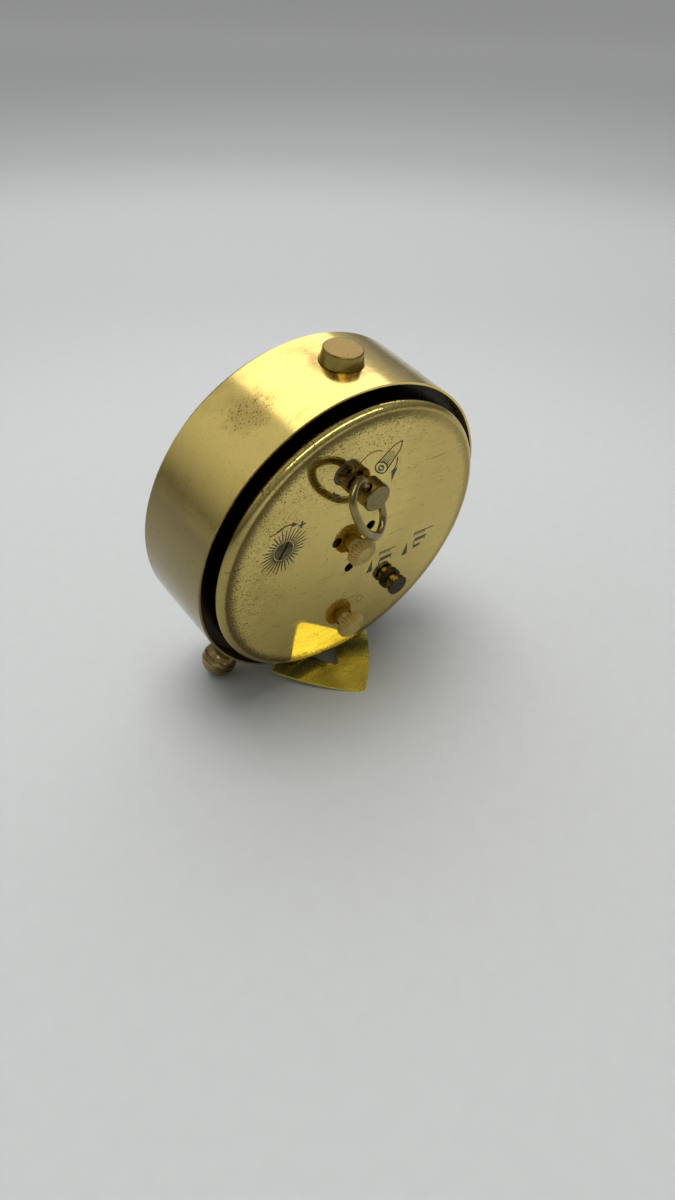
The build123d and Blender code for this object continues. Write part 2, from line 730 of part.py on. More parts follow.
# Movement plates: both carry the pivots, the front one is screwed to the ring's seat
pivot = PIN_ARBOR_RADIUS + PIVOT_FIT
train_pivots = [(axis, pivot) for axis in (third_axis, fourth_axis, escape_axis, pallet_axis)]
train_pivots += [(axis, pivot) for axis in (balance_axis, strike_axis, HAMMER_AXIS)]
main_pivots = [
    (ALARM_AXIS, ARBOR_RADIUS + FIT),
    (key_axis, WINDING_ARBOR_RADIUS + FIT),
]
front_holes = [(place, DIAL_PIN_RADIUS + PIVOT_FIT) for place in dial_pin_places]
front_holes += [(place, PLATE_SCREW_RADIUS + PIVOT_FIT) for place in plate_screw_places]
front_holes += [(place, PILLAR_END_RADIUS + PIVOT_FIT) for place in pillar_places]
front_holes += [(HAND_AXIS, ARBOR_RADIUS + FIT), (MINUTE_AXIS, pivot)]
back_holes = [(place, PILLAR_END_RADIUS + PIVOT_FIT) for place in pillar_places]
back_holes += [(HAND_AXIS, ARBOR_RADIUS + FIT), (SHUT_OFF_AXIS, SHUT_OFF_ROD_RADIUS + FIT)]
back_holes += [(REGULATOR_AXIS, REGULATOR_SHAFT_RADIUS + FIT)]
front_plate = plate(ring_bore - SLIP, front_plate_front, train_pivots + main_pivots + front_holes)
save("movement_front_plate", front_plate)
back_plate = plate(back_plate_radius, back_plate_front, train_pivots + main_pivots + back_holes)
save("movement_back_plate", back_plate)

# Pillars between the plates, shouldered at both ends
with BuildPart() as plate_pillars:
    with BuildSketch(back.offset(front_plate_rear)):
        with Locations(*pillar_places):
            Circle(PILLAR_RADIUS)
    extrude(amount=back_plate_front - front_plate_rear)
    with BuildSketch(back.offset(front_plate_front)):
        with Locations(*pillar_places):
            Circle(PILLAR_END_RADIUS)
    extrude(amount=BACK_PLATE_REAR + PILLAR_NUT_THICK - front_plate_front)
save("plate_pillars", plate_pillars.part)

# Nuts that hold the back plate on the pillars
with BuildPart() as pillar_nuts:
    with BuildSketch(back.offset(BACK_PLATE_REAR)):
        with Locations(*pillar_places):
            RegularPolygon(PILLAR_NUT_RADIUS, 6)
            Circle(PILLAR_END_RADIUS + PIVOT_FIT, mode=Mode.SUBTRACT)
    extrude(amount=PILLAR_NUT_THICK)
save("pillar_nuts", pillar_nuts.part)

# Screws that hold the front plate to the movement ring
with BuildPart() as plate_screws:
    for place in plate_screw_places:
        head_plane = Plane(
            origin=at(place[0], place[1], front_plate_front),
            x_dir=back.x_dir,
            z_dir=-back.z_dir,
        )
        add(
            slotted_screw(
                head_plane,
                PLATE_SCREW_RADIUS,
                PLATE_THICK + RING_SEAT,
                PLATE_SCREW_HEAD,
                PLATE_SCREW_HEAD_THICK,
            )
        )
save("plate_screws", plate_screws.part)

# Back cover: shallow cup with a rounded shoulder, its skirt fits over the movement ring's rim
with BuildPart() as back_cover:
    with BuildSketch(profile_plane()):
        with BuildLine():
            Line((cover_radius, RING_REAR), (cover_radius, COVER_FACE - COVER_CORNER))
            RadiusArc(
                (cover_radius, COVER_FACE - COVER_CORNER),
                (cover_radius - COVER_CORNER, COVER_FACE),
                -COVER_CORNER,
            )
            Polyline(
                (cover_radius - COVER_CORNER, COVER_FACE),
                (0, COVER_FACE),
                (0, cover_inside),
                (cover_radius - COVER_CORNER, cover_inside),
            )
            RadiusArc(
                (cover_radius - COVER_CORNER, cover_inside),
                (cover_bore, COVER_FACE - COVER_CORNER),
                COVER_CORNER - COVER_WALL,
            )
            Polyline(
                (cover_bore, COVER_FACE - COVER_CORNER),
                (cover_bore, RING_REAR),
                (cover_radius, RING_REAR),
            )
        make_face()
    revolve(axis=turning_axis())
    with BuildSketch(back.offset(cover_inside)):
        with Locations(HAND_AXIS, ALARM_AXIS):
            Circle(KNOB_HOLE_RADIUS)
        with Locations(key_axis):
            Circle(KEY_CLEAR_RADIUS)
        with Locations(SHUT_OFF_AXIS):
            Circle(SHUT_OFF_BUSH_BORE + COVER_WALL)
        with Locations(REGULATOR_AXIS):
            Circle(REGULATOR_RADIUS + FIT)
        with Locations(*ACCESS_HOLES):
            Circle(ACCESS_HOLE_RADIUS)
    extrude(amount=COVER_WALL, mode=Mode.SUBTRACT)
save("back_cover", back_cover.part)

# Press button: flat cap with a rounded edge in a blind bore, its stem runs through the bore's floor
with BuildPart() as press_button:
    with BuildSketch(radial_profile_plane(0, BUTTON_DEPTH)):
        cap_floor = CASE_RADIUS - BUTTON_SKIRT
        cap_top = CASE_RADIUS + BUTTON_HEIGHT
        stem_end = boss_end - BUTTON_CLIP_GAP - BUTTON_CLIP_THICK - BUTTON_CLIP_GAP
        with BuildLine():
            Polyline(
                (0, stem_end),
                (BUTTON_STEM_RADIUS, stem_end),
                (BUTTON_STEM_RADIUS, cap_floor),
                (BUTTON_BASE_RADIUS, cap_floor),
                (BUTTON_BASE_RADIUS, CASE_RADIUS),
                (BUTTON_TOP_RADIUS, cap_top),
                (0, cap_top),
                close=True,
            )
        make_face()
    revolve(axis=radial_axis(0, BUTTON_DEPTH))
    top_edge = press_button.edges().filter_by(GeomType.CIRCLE).sort_by(radial_axis(0, BUTTON_DEPTH))[-1]
    fillet(top_edge, radius=BUTTON_EDGE)
save("press_button", press_button.part)

# Clip that keeps the button in its bore
with BuildPart() as button_clip:
    with BuildSketch(radial_plane(0, BUTTON_DEPTH).offset(boss_end - BUTTON_CLIP_GAP - BUTTON_CLIP_THICK)):
        Circle(BUTTON_CLIP_RADIUS)
        Circle(BUTTON_STEM_RADIUS + PIVOT_FIT, mode=Mode.SUBTRACT)
    extrude(amount=BUTTON_CLIP_THICK)
save("button_clip", button_clip.part)

# Button spring: plain sleeve under the cap, in the space that its coils take
with BuildPart() as button_spring:
    with BuildSketch(radial_plane(0, BUTTON_DEPTH).offset(button_bore_floor)):
        Circle(SPRING_RADIUS)
        Circle(SPRING_RADIUS - 2 * SPRING_WIRE, mode=Mode.SUBTRACT)
    extrude(amount=cap_floor - button_bore_floor)
save("button_spring", button_spring.part)


def ball_foot(angle):
    """Turned foot: stud, collar, bead between two grooves, and a ball with a band, cut flat on the floor."""
    ball_neck = foot_ball_centre - sqrt(FOOT_BALL**2 - FOOT_GROOVE_RADIUS**2)
    groove_start = CASE_RADIUS + FOOT_COLLAR
    bead_start = groove_start + FOOT_GROOVE
    bead_end = bead_start + FOOT_BEAD
    with BuildPart() as foot:
        with BuildSketch(radial_profile_plane(angle, FOOT_DEPTH)):
            with BuildLine():
                Polyline(
                    (0, CASE_RADIUS - FOOT_STUD_LENGTH),
                    (FOOT_STUD_RADIUS, CASE_RADIUS - FOOT_STUD_LENGTH),
                    (FOOT_STUD_RADIUS, CASE_RADIUS),
                    (FOOT_COLLAR_RADIUS, CASE_RADIUS),
                    (FOOT_COLLAR_RADIUS, groove_start),
                    (FOOT_GROOVE_RADIUS, groove_start),
                    (FOOT_GROOVE_RADIUS, bead_start),
                    (FOOT_BEAD_RADIUS, bead_start),
                    (FOOT_BEAD_RADIUS, bead_end),
                    (FOOT_GROOVE_RADIUS, bead_end),
                    (FOOT_GROOVE_RADIUS, ball_neck),
                )
                ThreePointArc(
                    (FOOT_GROOVE_RADIUS, ball_neck),
                    (FOOT_BALL, foot_ball_centre),
                    (0, foot_ball_centre + FOOT_BALL),
                )
                Line((0, foot_ball_centre + FOOT_BALL), (0, CASE_RADIUS - FOOT_STUD_LENGTH))
            make_face()
        revolve(axis=radial_axis(angle, FOOT_DEPTH))
        with BuildSketch(radial_profile_plane(angle, FOOT_DEPTH)):
            with Locations(*[(FOOT_BALL, foot_ball_centre + side * FOOT_BAND / 2) for side in (-1, 1)]):
                Rectangle(2 * FOOT_BAND_DEPTH, FOOT_BAND_CUT)
        revolve(axis=radial_axis(angle, FOOT_DEPTH), mode=Mode.SUBTRACT)
        split(bisect_by=Plane.XY, keep=Keep.TOP)
    return foot.part


save("foot_left", ball_foot(180 + FOOT_ANGLE))
save("foot_right", ball_foot(180 - FOOT_ANGLE))

# Rear strut: flat plate screwed under the drum and bent up so that its tip stands on the floor
strut_drop = rest_drop + STRUT_FLAT - CASE_RADIUS * cos(radians(LEAN))
strut_to_floor = asin(strut_drop / hypot(STRUT_REACH, STRUT_THICK)) - atan(STRUT_THICK / STRUT_REACH)
strut_bend = LEAN - degrees(strut_to_floor)
strut_rise = back.y_dir * -cos(radians(strut_bend)) + back.z_dir * sin(radians(strut_bend))
strut_base_plane = Plane(origin=at(0, -CASE_RADIUS, 0), x_dir=back.x_dir, z_dir=-back.y_dir)
strut_tip_plane = Plane(origin=at(0, -CASE_RADIUS, 0), x_dir=back.x_dir, z_dir=strut_rise)
with BuildPart() as rear_strut:
    with BuildSketch(strut_tip_plane) as strut_tip:
        with BuildLine():
            Polyline(
                (-STRUT_HALF_WIDTH, 0),
                (-STRUT_HALF_WIDTH, -STRUT_ROOT),
                (STRUT_HALF_WIDTH, -STRUT_ROOT),
                (STRUT_HALF_WIDTH, 0),
            )
            ThreePointArc((STRUT_HALF_WIDTH, 0), STRUT_BULGE, (0, STRUT_POINT))
            ThreePointArc((0, STRUT_POINT), (-STRUT_BULGE[0], STRUT_BULGE[1]), (-STRUT_HALF_WIDTH, 0))
        make_face()
        fillet(strut_tip.vertices().sort_by(Axis.Y)[-1], radius=STRUT_TIP_RADIUS)
    extrude(amount=STRUT_THICK)
    with BuildSketch(strut_base_plane):
        with BuildLine():
            Polyline(
                (-STRUT_HALF_WIDTH, 0),
                (STRUT_HALF_WIDTH, 0),
                (STRUT_TONGUE_HALF, -STRUT_TONGUE),
                (-STRUT_TONGUE_HALF, -STRUT_TONGUE),
                close=True,
            )
        make_face()
        with Locations((0, STRUT_SCREW_DEPTH)):
            Circle(STRUT_SCREW_RADIUS + SLIP, mode=Mode.SUBTRACT)
    extrude(amount=STRUT_THICK)
    with BuildSketch(strut_base_plane) as strut_cut:
        with BuildLine():
            Polyline(
                (0, STRUT_CUT_APEX),
                (-STRUT_CUT_HALF, STRUT_CUT_BASE),
                (STRUT_CUT_HALF, STRUT_CUT_BASE),
                close=True,
            )
        make_face()
        fillet(strut_cut.vertices(), radius=STRUT_CUT_ROUND)
    extrude(amount=3 * STRUT_THICK, both=True, mode=Mode.SUBTRACT)
    split(bisect_by=Plane.XY, keep=Keep.TOP)
save("rear_strut", rear_strut.part)

# Screw that holds the strut to the movement ring
strut_screw_plane = radial_plane(180, STRUT_SCREW_DEPTH).offset(CASE_RADIUS + STRUT_THICK)
strut_screw = slotted_screw(
    strut_screw_plane,
    STRUT_SCREW_RADIUS,
    FOOT_STUD_LENGTH,
    STRUT_SCREW_HEAD,
    STRUT_SCREW_HEAD_THICK,
)
save("strut_screw", strut_screw)

# Knobs that set the hands and the alarm
save("hand_setting_knob", setting_knob(HAND_AXIS))
save("alarm_setting_knob", setting_knob(ALARM_AXIS))

# Winding key: round head with a cross hole, on a hub fixed to the winding arbor
bail_line = back.x_dir * -sin(radians(KEY_TURN)) + back.y_dir * cos(radians(KEY_TURN))
bail_across = back.x_dir * -cos(radians(KEY_TURN)) + back.y_dir * -sin(radians(KEY_TURN))
key_hole_plane = Plane(origin=at(*key_axis, bail_height), x_dir=back.z_dir, z_dir=bail_line)
with BuildPart() as winding_key:
    with BuildSketch(profile_plane(key_axis)):
        with BuildLine():
            Polyline(
                (WINDING_ARBOR_RADIUS + PIVOT_FIT, KEY_HUB_START),
                (KEY_HUB_RADIUS, KEY_HUB_START),
                (KEY_HUB_RADIUS, key_front),
                (KEY_RADIUS - KEY_EDGE, key_front),
                (KEY_RADIUS, key_front + KEY_EDGE),
                (KEY_RADIUS, key_rear - KEY_EDGE),
                (KEY_RADIUS - KEY_EDGE, key_rear),
                (0, key_rear),
                (0, key_front),
                (WINDING_ARBOR_RADIUS + PIVOT_FIT, key_front),
                close=True,
            )
        make_face()
    revolve(axis=turning_axis(key_axis))
    with BuildSketch(key_hole_plane):
        Circle(KEY_HOLE_RADIUS)
    extrude(amount=2 * KEY_RADIUS, both=True, mode=Mode.SUBTRACT)
save("winding_key", winding_key.part)

# Key ring: closed loop of flattened wire, its straight bar runs through the key's cross hole
bail_away = bail_across * cos(radians(BAIL_LIFT)) + back.z_dir * sin(radians(BAIL_LIFT))
bail_plane = Plane(origin=key_hole_plane.origin, x_dir=bail_line, z_dir=bail_line.cross(bail_away))
corner_drop = BAIL_DROP - BAIL_CORNER
bow_centre = (corner_drop**2 - BAIL_HALF_BAR**2 - BAIL_CORNER**2) / (2 * corner_drop - 2 * BAIL_CORNER)
corner_bearing = degrees(atan2(BAIL_CORNER - bow_centre, BAIL_HALF_BAR))
right_corner = (BAIL_HALF_BAR, BAIL_CORNER)
corner_middle = polar(right_corner, BAIL_CORNER, (corner_bearing - 90) / 2)
corner_end = polar(right_corner, BAIL_CORNER, corner_bearing)
with BuildPart() as key_ring:
    with BuildLine(bail_plane) as bail_path:
        Line((-BAIL_HALF_BAR, 0), (BAIL_HALF_BAR, 0))
        ThreePointArc((BAIL_HALF_BAR, 0), corner_middle, corner_end)
        ThreePointArc(corner_end, (0, BAIL_DROP), (-corner_end[0], corner_end[1]))
        ThreePointArc(
            (-corner_end[0], corner_end[1]),
            (-corner_middle[0], corner_middle[1]),
            (-BAIL_HALF_BAR, 0),
        )
    with BuildSketch(Plane(origin=key_hole_plane.origin, x_dir=bail_away, z_dir=bail_line)):
        Ellipse(BAIL_WIDTH, BAIL_THICK)
    extrude(amount=BAIL_HALF_BAR, both=True)
    bar_end = at(*key_axis, bail_height) + bail_line * BAIL_HALF_BAR
    with BuildSketch(Plane(origin=bar_end, x_dir=bail_away, z_dir=bail_line)):
        Ellipse(BAIL_WIDTH, BAIL_THICK)
    sweep(path=Wire(bail_path.edges()[1:]))
save("key_ring", key_ring.part)

# Shut-off knob: turned knob on a rod that slides in a black bush
shut_off_neck = COVER_FACE + SHUT_OFF_BUSH_HEIGHT
shut_off_end = COVER_FACE + SHUT_OFF_END
shut_off_flange = shut_off_end - SHUT_OFF_FLANGE
shut_off_groove = shut_off_flange - SHUT_OFF_GROOVE
save(
    "shut_off_knob",
    turned(
        SHUT_OFF_AXIS,
        (
            (SHUT_OFF_ROD_RADIUS, SHUT_OFF_ROD_END, shut_off_neck),
            (SHUT_OFF_NECK_RADIUS, shut_off_neck, shut_off_groove),
            (SHUT_OFF_GROOVE_RADIUS, shut_off_groove, shut_off_flange),
            (SHUT_OFF_FLANGE_RADIUS, shut_off_flange, shut_off_end),
        ),
    ),
)
with BuildPart() as shut_off_bush:
    with BuildSketch(back.offset(COVER_FACE)):
        with Locations(SHUT_OFF_AXIS):
            Circle(SHUT_OFF_BUSH_RADIUS)
    extrude(amount=SHUT_OFF_BUSH_HEIGHT)
    with BuildSketch(back.offset(cover_inside)):
        with Locations(SHUT_OFF_AXIS):
            Circle(SHUT_OFF_BUSH_BORE + COVER_WALL - PIVOT_FIT)
    extrude(amount=COVER_WALL)
    with BuildSketch(back.offset(cover_inside)):
        with Locations(SHUT_OFF_AXIS):
            Circle(SHUT_OFF_BUSH_BORE)
    extrude(amount=2 * COVER_WALL + SHUT_OFF_BUSH_HEIGHT, mode=Mode.SUBTRACT)
save("shut_off_bush", shut_off_bush.part)

# Regulator: slotted disc flush in the cover, its shaft carries the arm that holds the hairspring
arm_bearing = bearing_of(REGULATOR_AXIS, balance_axis)
arm_length = apart(REGULATOR_AXIS, balance_axis) - HAIRSPRING_RADIUS - REGULATOR_PIN_GAP
with BuildPart() as regulator_disc:
    add(
        turned(
            REGULATOR_AXIS,
            (
                (REGULATOR_RADIUS, cover_inside, COVER_FACE),
                (REGULATOR_SHAFT_RADIUS, REGULATOR_ARM_REAR - REGULATOR_ARM_THICK, cover_inside),
            ),
        )
    )
    with BuildSketch(back.offset(COVER_FACE - REGULATOR_SLOT_DEPTH)):
        with Locations(REGULATOR_AXIS):
            Rectangle(3 * REGULATOR_RADIUS, REGULATOR_SLOT, rotation=REGULATOR_SLOT_TURN)
    extrude(amount=COVER_WALL, mode=Mode.SUBTRACT)
save("regulator_disc", regulator_disc.part)
with BuildPart() as regulator_arm:
    with BuildSketch(back.offset(REGULATOR_ARM_REAR - REGULATOR_ARM_THICK)):
        with Locations(REGULATOR_AXIS):
            Circle(REGULATOR_SHAFT_RADIUS + REGULATOR_ARM_WIDTH)
        with Locations(polar(REGULATOR_AXIS, arm_length / 2, arm_bearing)):
            Rectangle(arm_length, REGULATOR_ARM_WIDTH, rotation=arm_bearing)
        with Locations(REGULATOR_AXIS):
            Circle(REGULATOR_SHAFT_RADIUS + PIVOT_FIT, mode=Mode.SUBTRACT)
    extrude(amount=REGULATOR_ARM_THICK)
save("regulator_arm", regulator_arm.part)

# Winding arbor through both barrels
save(
    "winding_arbor",
    turned(key_axis, ((WINDING_ARBOR_RADIUS, front_plate_front, key_front),)),
)


def barrel(front, rear, gear_front):
    """Spring barrel: closed drum with a toothed flange at the given level."""
    module = pair_module(key_axis, HAND_AXIS, BARREL_TEETH, PINION_TEETH)
    towards = HAND_AXIS if gear_front == front else strike_axis
    with BuildPart() as drum:
        add(
            toothed(
                key_axis,
                BARREL_TEETH,
                module,
                bearing_of(key_axis, towards),
                gear_front,
                WHEEL_THICK,
                WINDING_ARBOR_RADIUS + FIT,
            )
        )
        with BuildSketch(back.offset(front)):
            with Locations(key_axis):
                Circle(barrel_radius)
                Circle(WINDING_ARBOR_RADIUS + FIT, mode=Mode.SUBTRACT)
        extrude(amount=rear - front)
        with BuildSketch(back.offset(front + WHEEL_THICK + SLIP)):
            with Locations(key_axis):
                Circle(barrel_radius - BARREL_WALL)
                Circle(WINDING_ARBOR_RADIUS + FIT + BARREL_WALL, mode=Mode.SUBTRACT)
        extrude(amount=rear - front - 2 * WHEEL_THICK - 2 * SLIP, mode=Mode.SUBTRACT)
    return drum.part


def mainspring(front, rear):
    """Coiled mainspring as the closed form of its turns."""
    with BuildPart() as coil:
        with BuildSketch(back.offset(front + WHEEL_THICK + 2 * SLIP)):
            with Locations(key_axis):
                Circle(barrel_radius - BARREL_WALL - SLIP)
                Circle(MAINSPRING_CORE, mode=Mode.SUBTRACT)
        extrude(amount=rear - front - 2 * WHEEL_THICK - 4 * SLIP)
    return coil.part


save("time_barrel", barrel(time_barrel_front, time_barrel_rear, time_barrel_front))
save("time_mainspring", mainspring(time_barrel_front, time_barrel_rear))
save("alarm_barrel", barrel(alarm_barrel_front, alarm_barrel_rear, alarm_barrel_rear - WHEEL_THICK))
save("alarm_mainspring", mainspring(alarm_barrel_front, alarm_barrel_rear))

# Centre wheel: pinion, pipe and wheel, loose on the centre arbor but for its friction
barrel_module = pair_module(key_axis, HAND_AXIS, BARREL_TEETH, PINION_TEETH)
centre_module = pair_module(HAND_AXIS, third_axis, CENTRE_TEETH, LEAF_TEETH)
third_module = pair_module(third_axis, fourth_axis, TRAIN_TEETH, LEAF_TEETH)
fourth_module = pair_module(fourth_axis, escape_axis, TRAIN_TEETH, LEAF_TEETH)
centre_bore = ARBOR_RADIUS + FIT
with BuildPart() as centre_wheel:
    add(
        toothed(
            HAND_AXIS,
            PINION_TEETH,
            barrel_module,
            facing_gap(key_axis, HAND_AXIS, PINION_TEETH),
            time_barrel_front - SLIP,
            WHEEL_THICK + 2 * SLIP,
            centre_bore,
        )
    )
    with BuildSketch(back.offset(time_barrel_front + WHEEL_THICK + SLIP)):
        Circle(CENTRE_PIPE_RADIUS)
        Circle(centre_bore, mode=Mode.SUBTRACT)
    extrude(amount=centre_wheel_level - time_barrel_front - WHEEL_THICK - SLIP)
    add(
        toothed(
            HAND_AXIS,
            CENTRE_TEETH,
            centre_module,
            bearing_of(HAND_AXIS, third_axis),
            centre_wheel_level,
            WHEEL_THICK,
            centre_bore,
            WHEEL_WINDOWS,
        )
    )
save("centre_wheel", centre_wheel.part)


def arbor_with_pinion(axis, driver, module, driver_level):
    """Pin arbor between the plates with its leaf pinion at the level of the wheel that drives it."""
    with BuildPart() as arbor:
        add(turned(axis, ((PIN_ARBOR_RADIUS, front_plate_front, BACK_PLATE_REAR),)))
        add(
            toothed(
                axis,
                LEAF_TEETH,
                module,
                facing_gap(driver, axis, LEAF_TEETH),
                driver_level - SLIP,
                WHEEL_THICK + 2 * SLIP,
                PIN_ARBOR_RADIUS / 2,
            )
        )
    return arbor.part


def train_wheel(axis, driven, module, wheel_level):
    """Wheel of the going train with windows, its tooth turned to the pinion that it drives."""
    bore = PIN_ARBOR_RADIUS + PIVOT_FIT
    phase = bearing_of(axis, driven)
    return toothed(axis, TRAIN_TEETH, module, phase, wheel_level, WHEEL_THICK, bore, WHEEL_WINDOWS)


save("third_arbor", arbor_with_pinion(third_axis, HAND_AXIS, centre_module, centre_wheel_level))
save("third_wheel", train_wheel(third_axis, fourth_axis, third_module, third_wheel_level))
save("fourth_arbor", arbor_with_pinion(fourth_axis, third_axis, third_module, third_wheel_level))
save("fourth_wheel", train_wheel(fourth_axis, escape_axis, fourth_module, fourth_wheel_level))
save("escape_arbor", arbor_with_pinion(escape_axis, fourth_axis, fourth_module, fourth_wheel_level))
save(
    "escape_wheel",
    ratchet(
        escape_axis,
        ESCAPE_TEETH,
        ESCAPE_RADIUS,
        escape_wheel_level,
        WHEEL_THICK,
        PIN_ARBOR_RADIUS + PIVOT_FIT,
    ),
)

# Pallet lever: anchor that straddles the escape wheel, with a fork towards the balance
pallet_bearing = bearing_of(pallet_axis, escape_axis)
with BuildPart() as pallet_lever:
    add(turned(pallet_axis, ((PIN_ARBOR_RADIUS, front_plate_front, BACK_PLATE_REAR),)))
    with BuildSketch(back.offset(escape_wheel_level)):
        with Locations(pallet_axis):
            Rectangle(LEVER_WIDTH, 2 * PALLET_HALF_SPAN, rotation=pallet_bearing)
        for side in (-1, 1):
            arm_root = polar(pallet_axis, PALLET_HALF_SPAN, pallet_bearing + side * 90)
            with Locations(polar(arm_root, PALLET_ARM / 2, pallet_bearing)):
                Rectangle(PALLET_ARM, PALLET_ARM_WIDTH, rotation=pallet_bearing)
        fork_bearing = bearing_of(pallet_axis, balance_axis)
        fork_length = BALANCE_DISTANCE - ROLLER_RADIUS - SMALL_GAP
        with Locations(polar(pallet_axis, fork_length / 2, fork_bearing)):
            Rectangle(fork_length, LEVER_WIDTH, rotation=fork_bearing)
    extrude(amount=WHEEL_THICK)
save("pallet_lever", pallet_lever.part)

# Balance: staff with its roller, wheel with two spokes, and the flat hairspring
with BuildPart() as balance_staff:
    add(
        turned(
            balance_axis,
            (
                (PIN_ARBOR_RADIUS, front_plate_front, BACK_PLATE_REAR),
                (ROLLER_RADIUS, escape_wheel_level, escape_wheel_level + WHEEL_THICK),
            ),
        )
    )
save("balance_staff", balance_staff.part)
with BuildPart() as balance_wheel:
    with BuildSketch(back.offset(balance_level)):
        with Locations(balance_axis):
            Circle(BALANCE_RADIUS)
            Circle(BALANCE_RADIUS - BALANCE_RIM, mode=Mode.SUBTRACT)
            Rectangle(2 * BALANCE_RADIUS - BALANCE_RIM, BALANCE_SPOKE)
            Circle(BALANCE_HUB)
            Circle(PIN_ARBOR_RADIUS + PIVOT_FIT, mode=Mode.SUBTRACT)
    extrude(amount=BALANCE_THICK)
save("balance_wheel", balance_wheel.part)
with BuildPart() as hairspring:
    with BuildSketch(back.offset(hairspring_level)):
        with Locations(balance_axis):
            Circle(HAIRSPRING_RADIUS)
            Circle(PIN_ARBOR_RADIUS + PIVOT_FIT, mode=Mode.SUBTRACT)
    extrude(amount=THIN_WHEEL)
save("hairspring", hairspring.part)

# Strike wheel driven by the alarm barrel, and the hammer that it rocks
alarm_gear_level = alarm_barrel_rear - WHEEL_THICK
with BuildPart() as strike_wheel:
    add(turned(strike_axis, ((PIN_ARBOR_RADIUS, front_plate_front, BACK_PLATE_REAR),)))
    add(
        toothed(
            strike_axis,
            PINION_TEETH,
            barrel_module,
            facing_gap(key_axis, strike_axis, PINION_TEETH),
            alarm_gear_level - SLIP,
            WHEEL_THICK + 2 * SLIP,
            PIN_ARBOR_RADIUS / 2,
        )
    )
    add(
        ratchet(
            strike_axis,
            STRIKE_TEETH,
            STRIKE_WHEEL_RADIUS,
            strike_wheel_level,
            WHEEL_THICK,
            PIN_ARBOR_RADIUS / 2,
        )
    )
save("strike_wheel", strike_wheel.part)
hammer_bearing = bearing_of(HAMMER_AXIS, hammer_head)
hammer_length = apart(HAMMER_AXIS, hammer_head)
with BuildPart() as alarm_hammer:
    add(turned(HAMMER_AXIS, ((PIN_ARBOR_RADIUS, front_plate_front, BACK_PLATE_REAR),)))
    with BuildSketch(back.offset(hammer_level)):
        with Locations(HAMMER_AXIS):
            Circle(HAMMER_HUB)
        with Locations(polar(HAMMER_AXIS, hammer_length / 2, hammer_bearing)):
            Rectangle(hammer_length, HAMMER_WIDTH, rotation=hammer_bearing)
        tail_bearing = bearing_of(HAMMER_AXIS, strike_axis)
        tail_length = apart(HAMMER_AXIS, strike_axis) - STRIKE_WHEEL_RADIUS - SMALL_GAP
        with Locations(polar(HAMMER_AXIS, tail_length / 2, tail_bearing)):
            Rectangle(tail_length, LEVER_WIDTH, rotation=tail_bearing)
    extrude(amount=WHEEL_THICK)
    with BuildSketch(back.offset(hammer_level)):
        with Locations(hammer_head):
            Circle(HAMMER_HEAD_RADIUS)
    extrude(amount=HAMMER_HEAD_LENGTH)
save("alarm_hammer", alarm_hammer.part)

# Centre arbor with the cannon pinion that carries the minute hand
cannon_module = pair_module(HAND_AXIS, MINUTE_AXIS, PINION_TEETH, MINUTE_TEETH)
hour_module = pair_module(HAND_AXIS, MINUTE_AXIS, HOUR_TEETH, MINUTE_PINION_TEETH)
alarm_module = pair_module(HAND_AXIS, ALARM_AXIS, ALARM_WHEEL_TEETH, ALARM_PINION_TEETH)
alarm_hand_level = dial_front - HAND_STEP / 2 - HAND_THICK
hour_hand_level = alarm_hand_level - HAND_STEP
minute_hand_level = hour_hand_level - HAND_STEP
save(
    "centre_arbor",
    turned(HAND_AXIS, ((ARBOR_RADIUS, minute_hand_level, knob_rear - KNOB_DISH_DEPTH),)),
)
with BuildPart() as cannon_pinion:
    add(
        toothed(
            HAND_AXIS,
            PINION_TEETH,
            cannon_module,
            bearing_of(HAND_AXIS, MINUTE_AXIS),
            minute_wheel_level - SLIP,
            THIN_WHEEL + 2 * SLIP,
            ARBOR_RADIUS + PIVOT_FIT,
        )
    )
    with BuildSketch(back.offset(minute_hand_level)):
        Circle(CANNON_PIPE_RADIUS)
        Circle(ARBOR_RADIUS + PIVOT_FIT, mode=Mode.SUBTRACT)
    extrude(amount=minute_wheel_level - minute_hand_level)
save("cannon_pinion", cannon_pinion.part)

# Minute wheel and its pinion on a stud of the front plate
minute_pinion_thick = MINUTE_PINION_SHARE * THIN_WHEEL
minute_pinion_level = minute_wheel_level - minute_pinion_thick
with BuildPart() as minute_wheel:
    add(turned(MINUTE_AXIS, ((PIN_ARBOR_RADIUS, minute_pinion_level, front_plate_rear),)))
    add(
        toothed(
            MINUTE_AXIS,
            MINUTE_TEETH,
            cannon_module,
            facing_gap(HAND_AXIS, MINUTE_AXIS, MINUTE_TEETH),
            minute_wheel_level,
            THIN_WHEEL,
            PIN_ARBOR_RADIUS / 2,
        )
    )
    add(
        toothed(
            MINUTE_AXIS,
            MINUTE_PINION_TEETH,
            hour_module,
            bearing_of(MINUTE_AXIS, HAND_AXIS),
            minute_pinion_level,
            minute_pinion_thick,
            PIN_ARBOR_RADIUS / 2,
        )
    )
save("minute_wheel", minute_wheel.part)

# Hour wheel and its pipe round the cannon pinion
hour_level = minute_wheel_level - SLIP - THIN_WHEEL
with BuildPart() as hour_wheel:
    add(
        toothed(
            HAND_AXIS,
            HOUR_TEETH,
            hour_module,
            facing_gap(MINUTE_AXIS, HAND_AXIS, HOUR_TEETH),
            hour_level - SLIP,
            THIN_WHEEL,
            CANNON_PIPE_RADIUS + PIPE_GAP,
        )
    )
    with BuildSketch(back.offset(hour_hand_level)):
        Circle(HOUR_PIPE_RADIUS)
        Circle(CANNON_PIPE_RADIUS + PIPE_GAP, mode=Mode.SUBTRACT)
    extrude(amount=hour_level - hour_hand_level)
save("hour_wheel", hour_wheel.part)

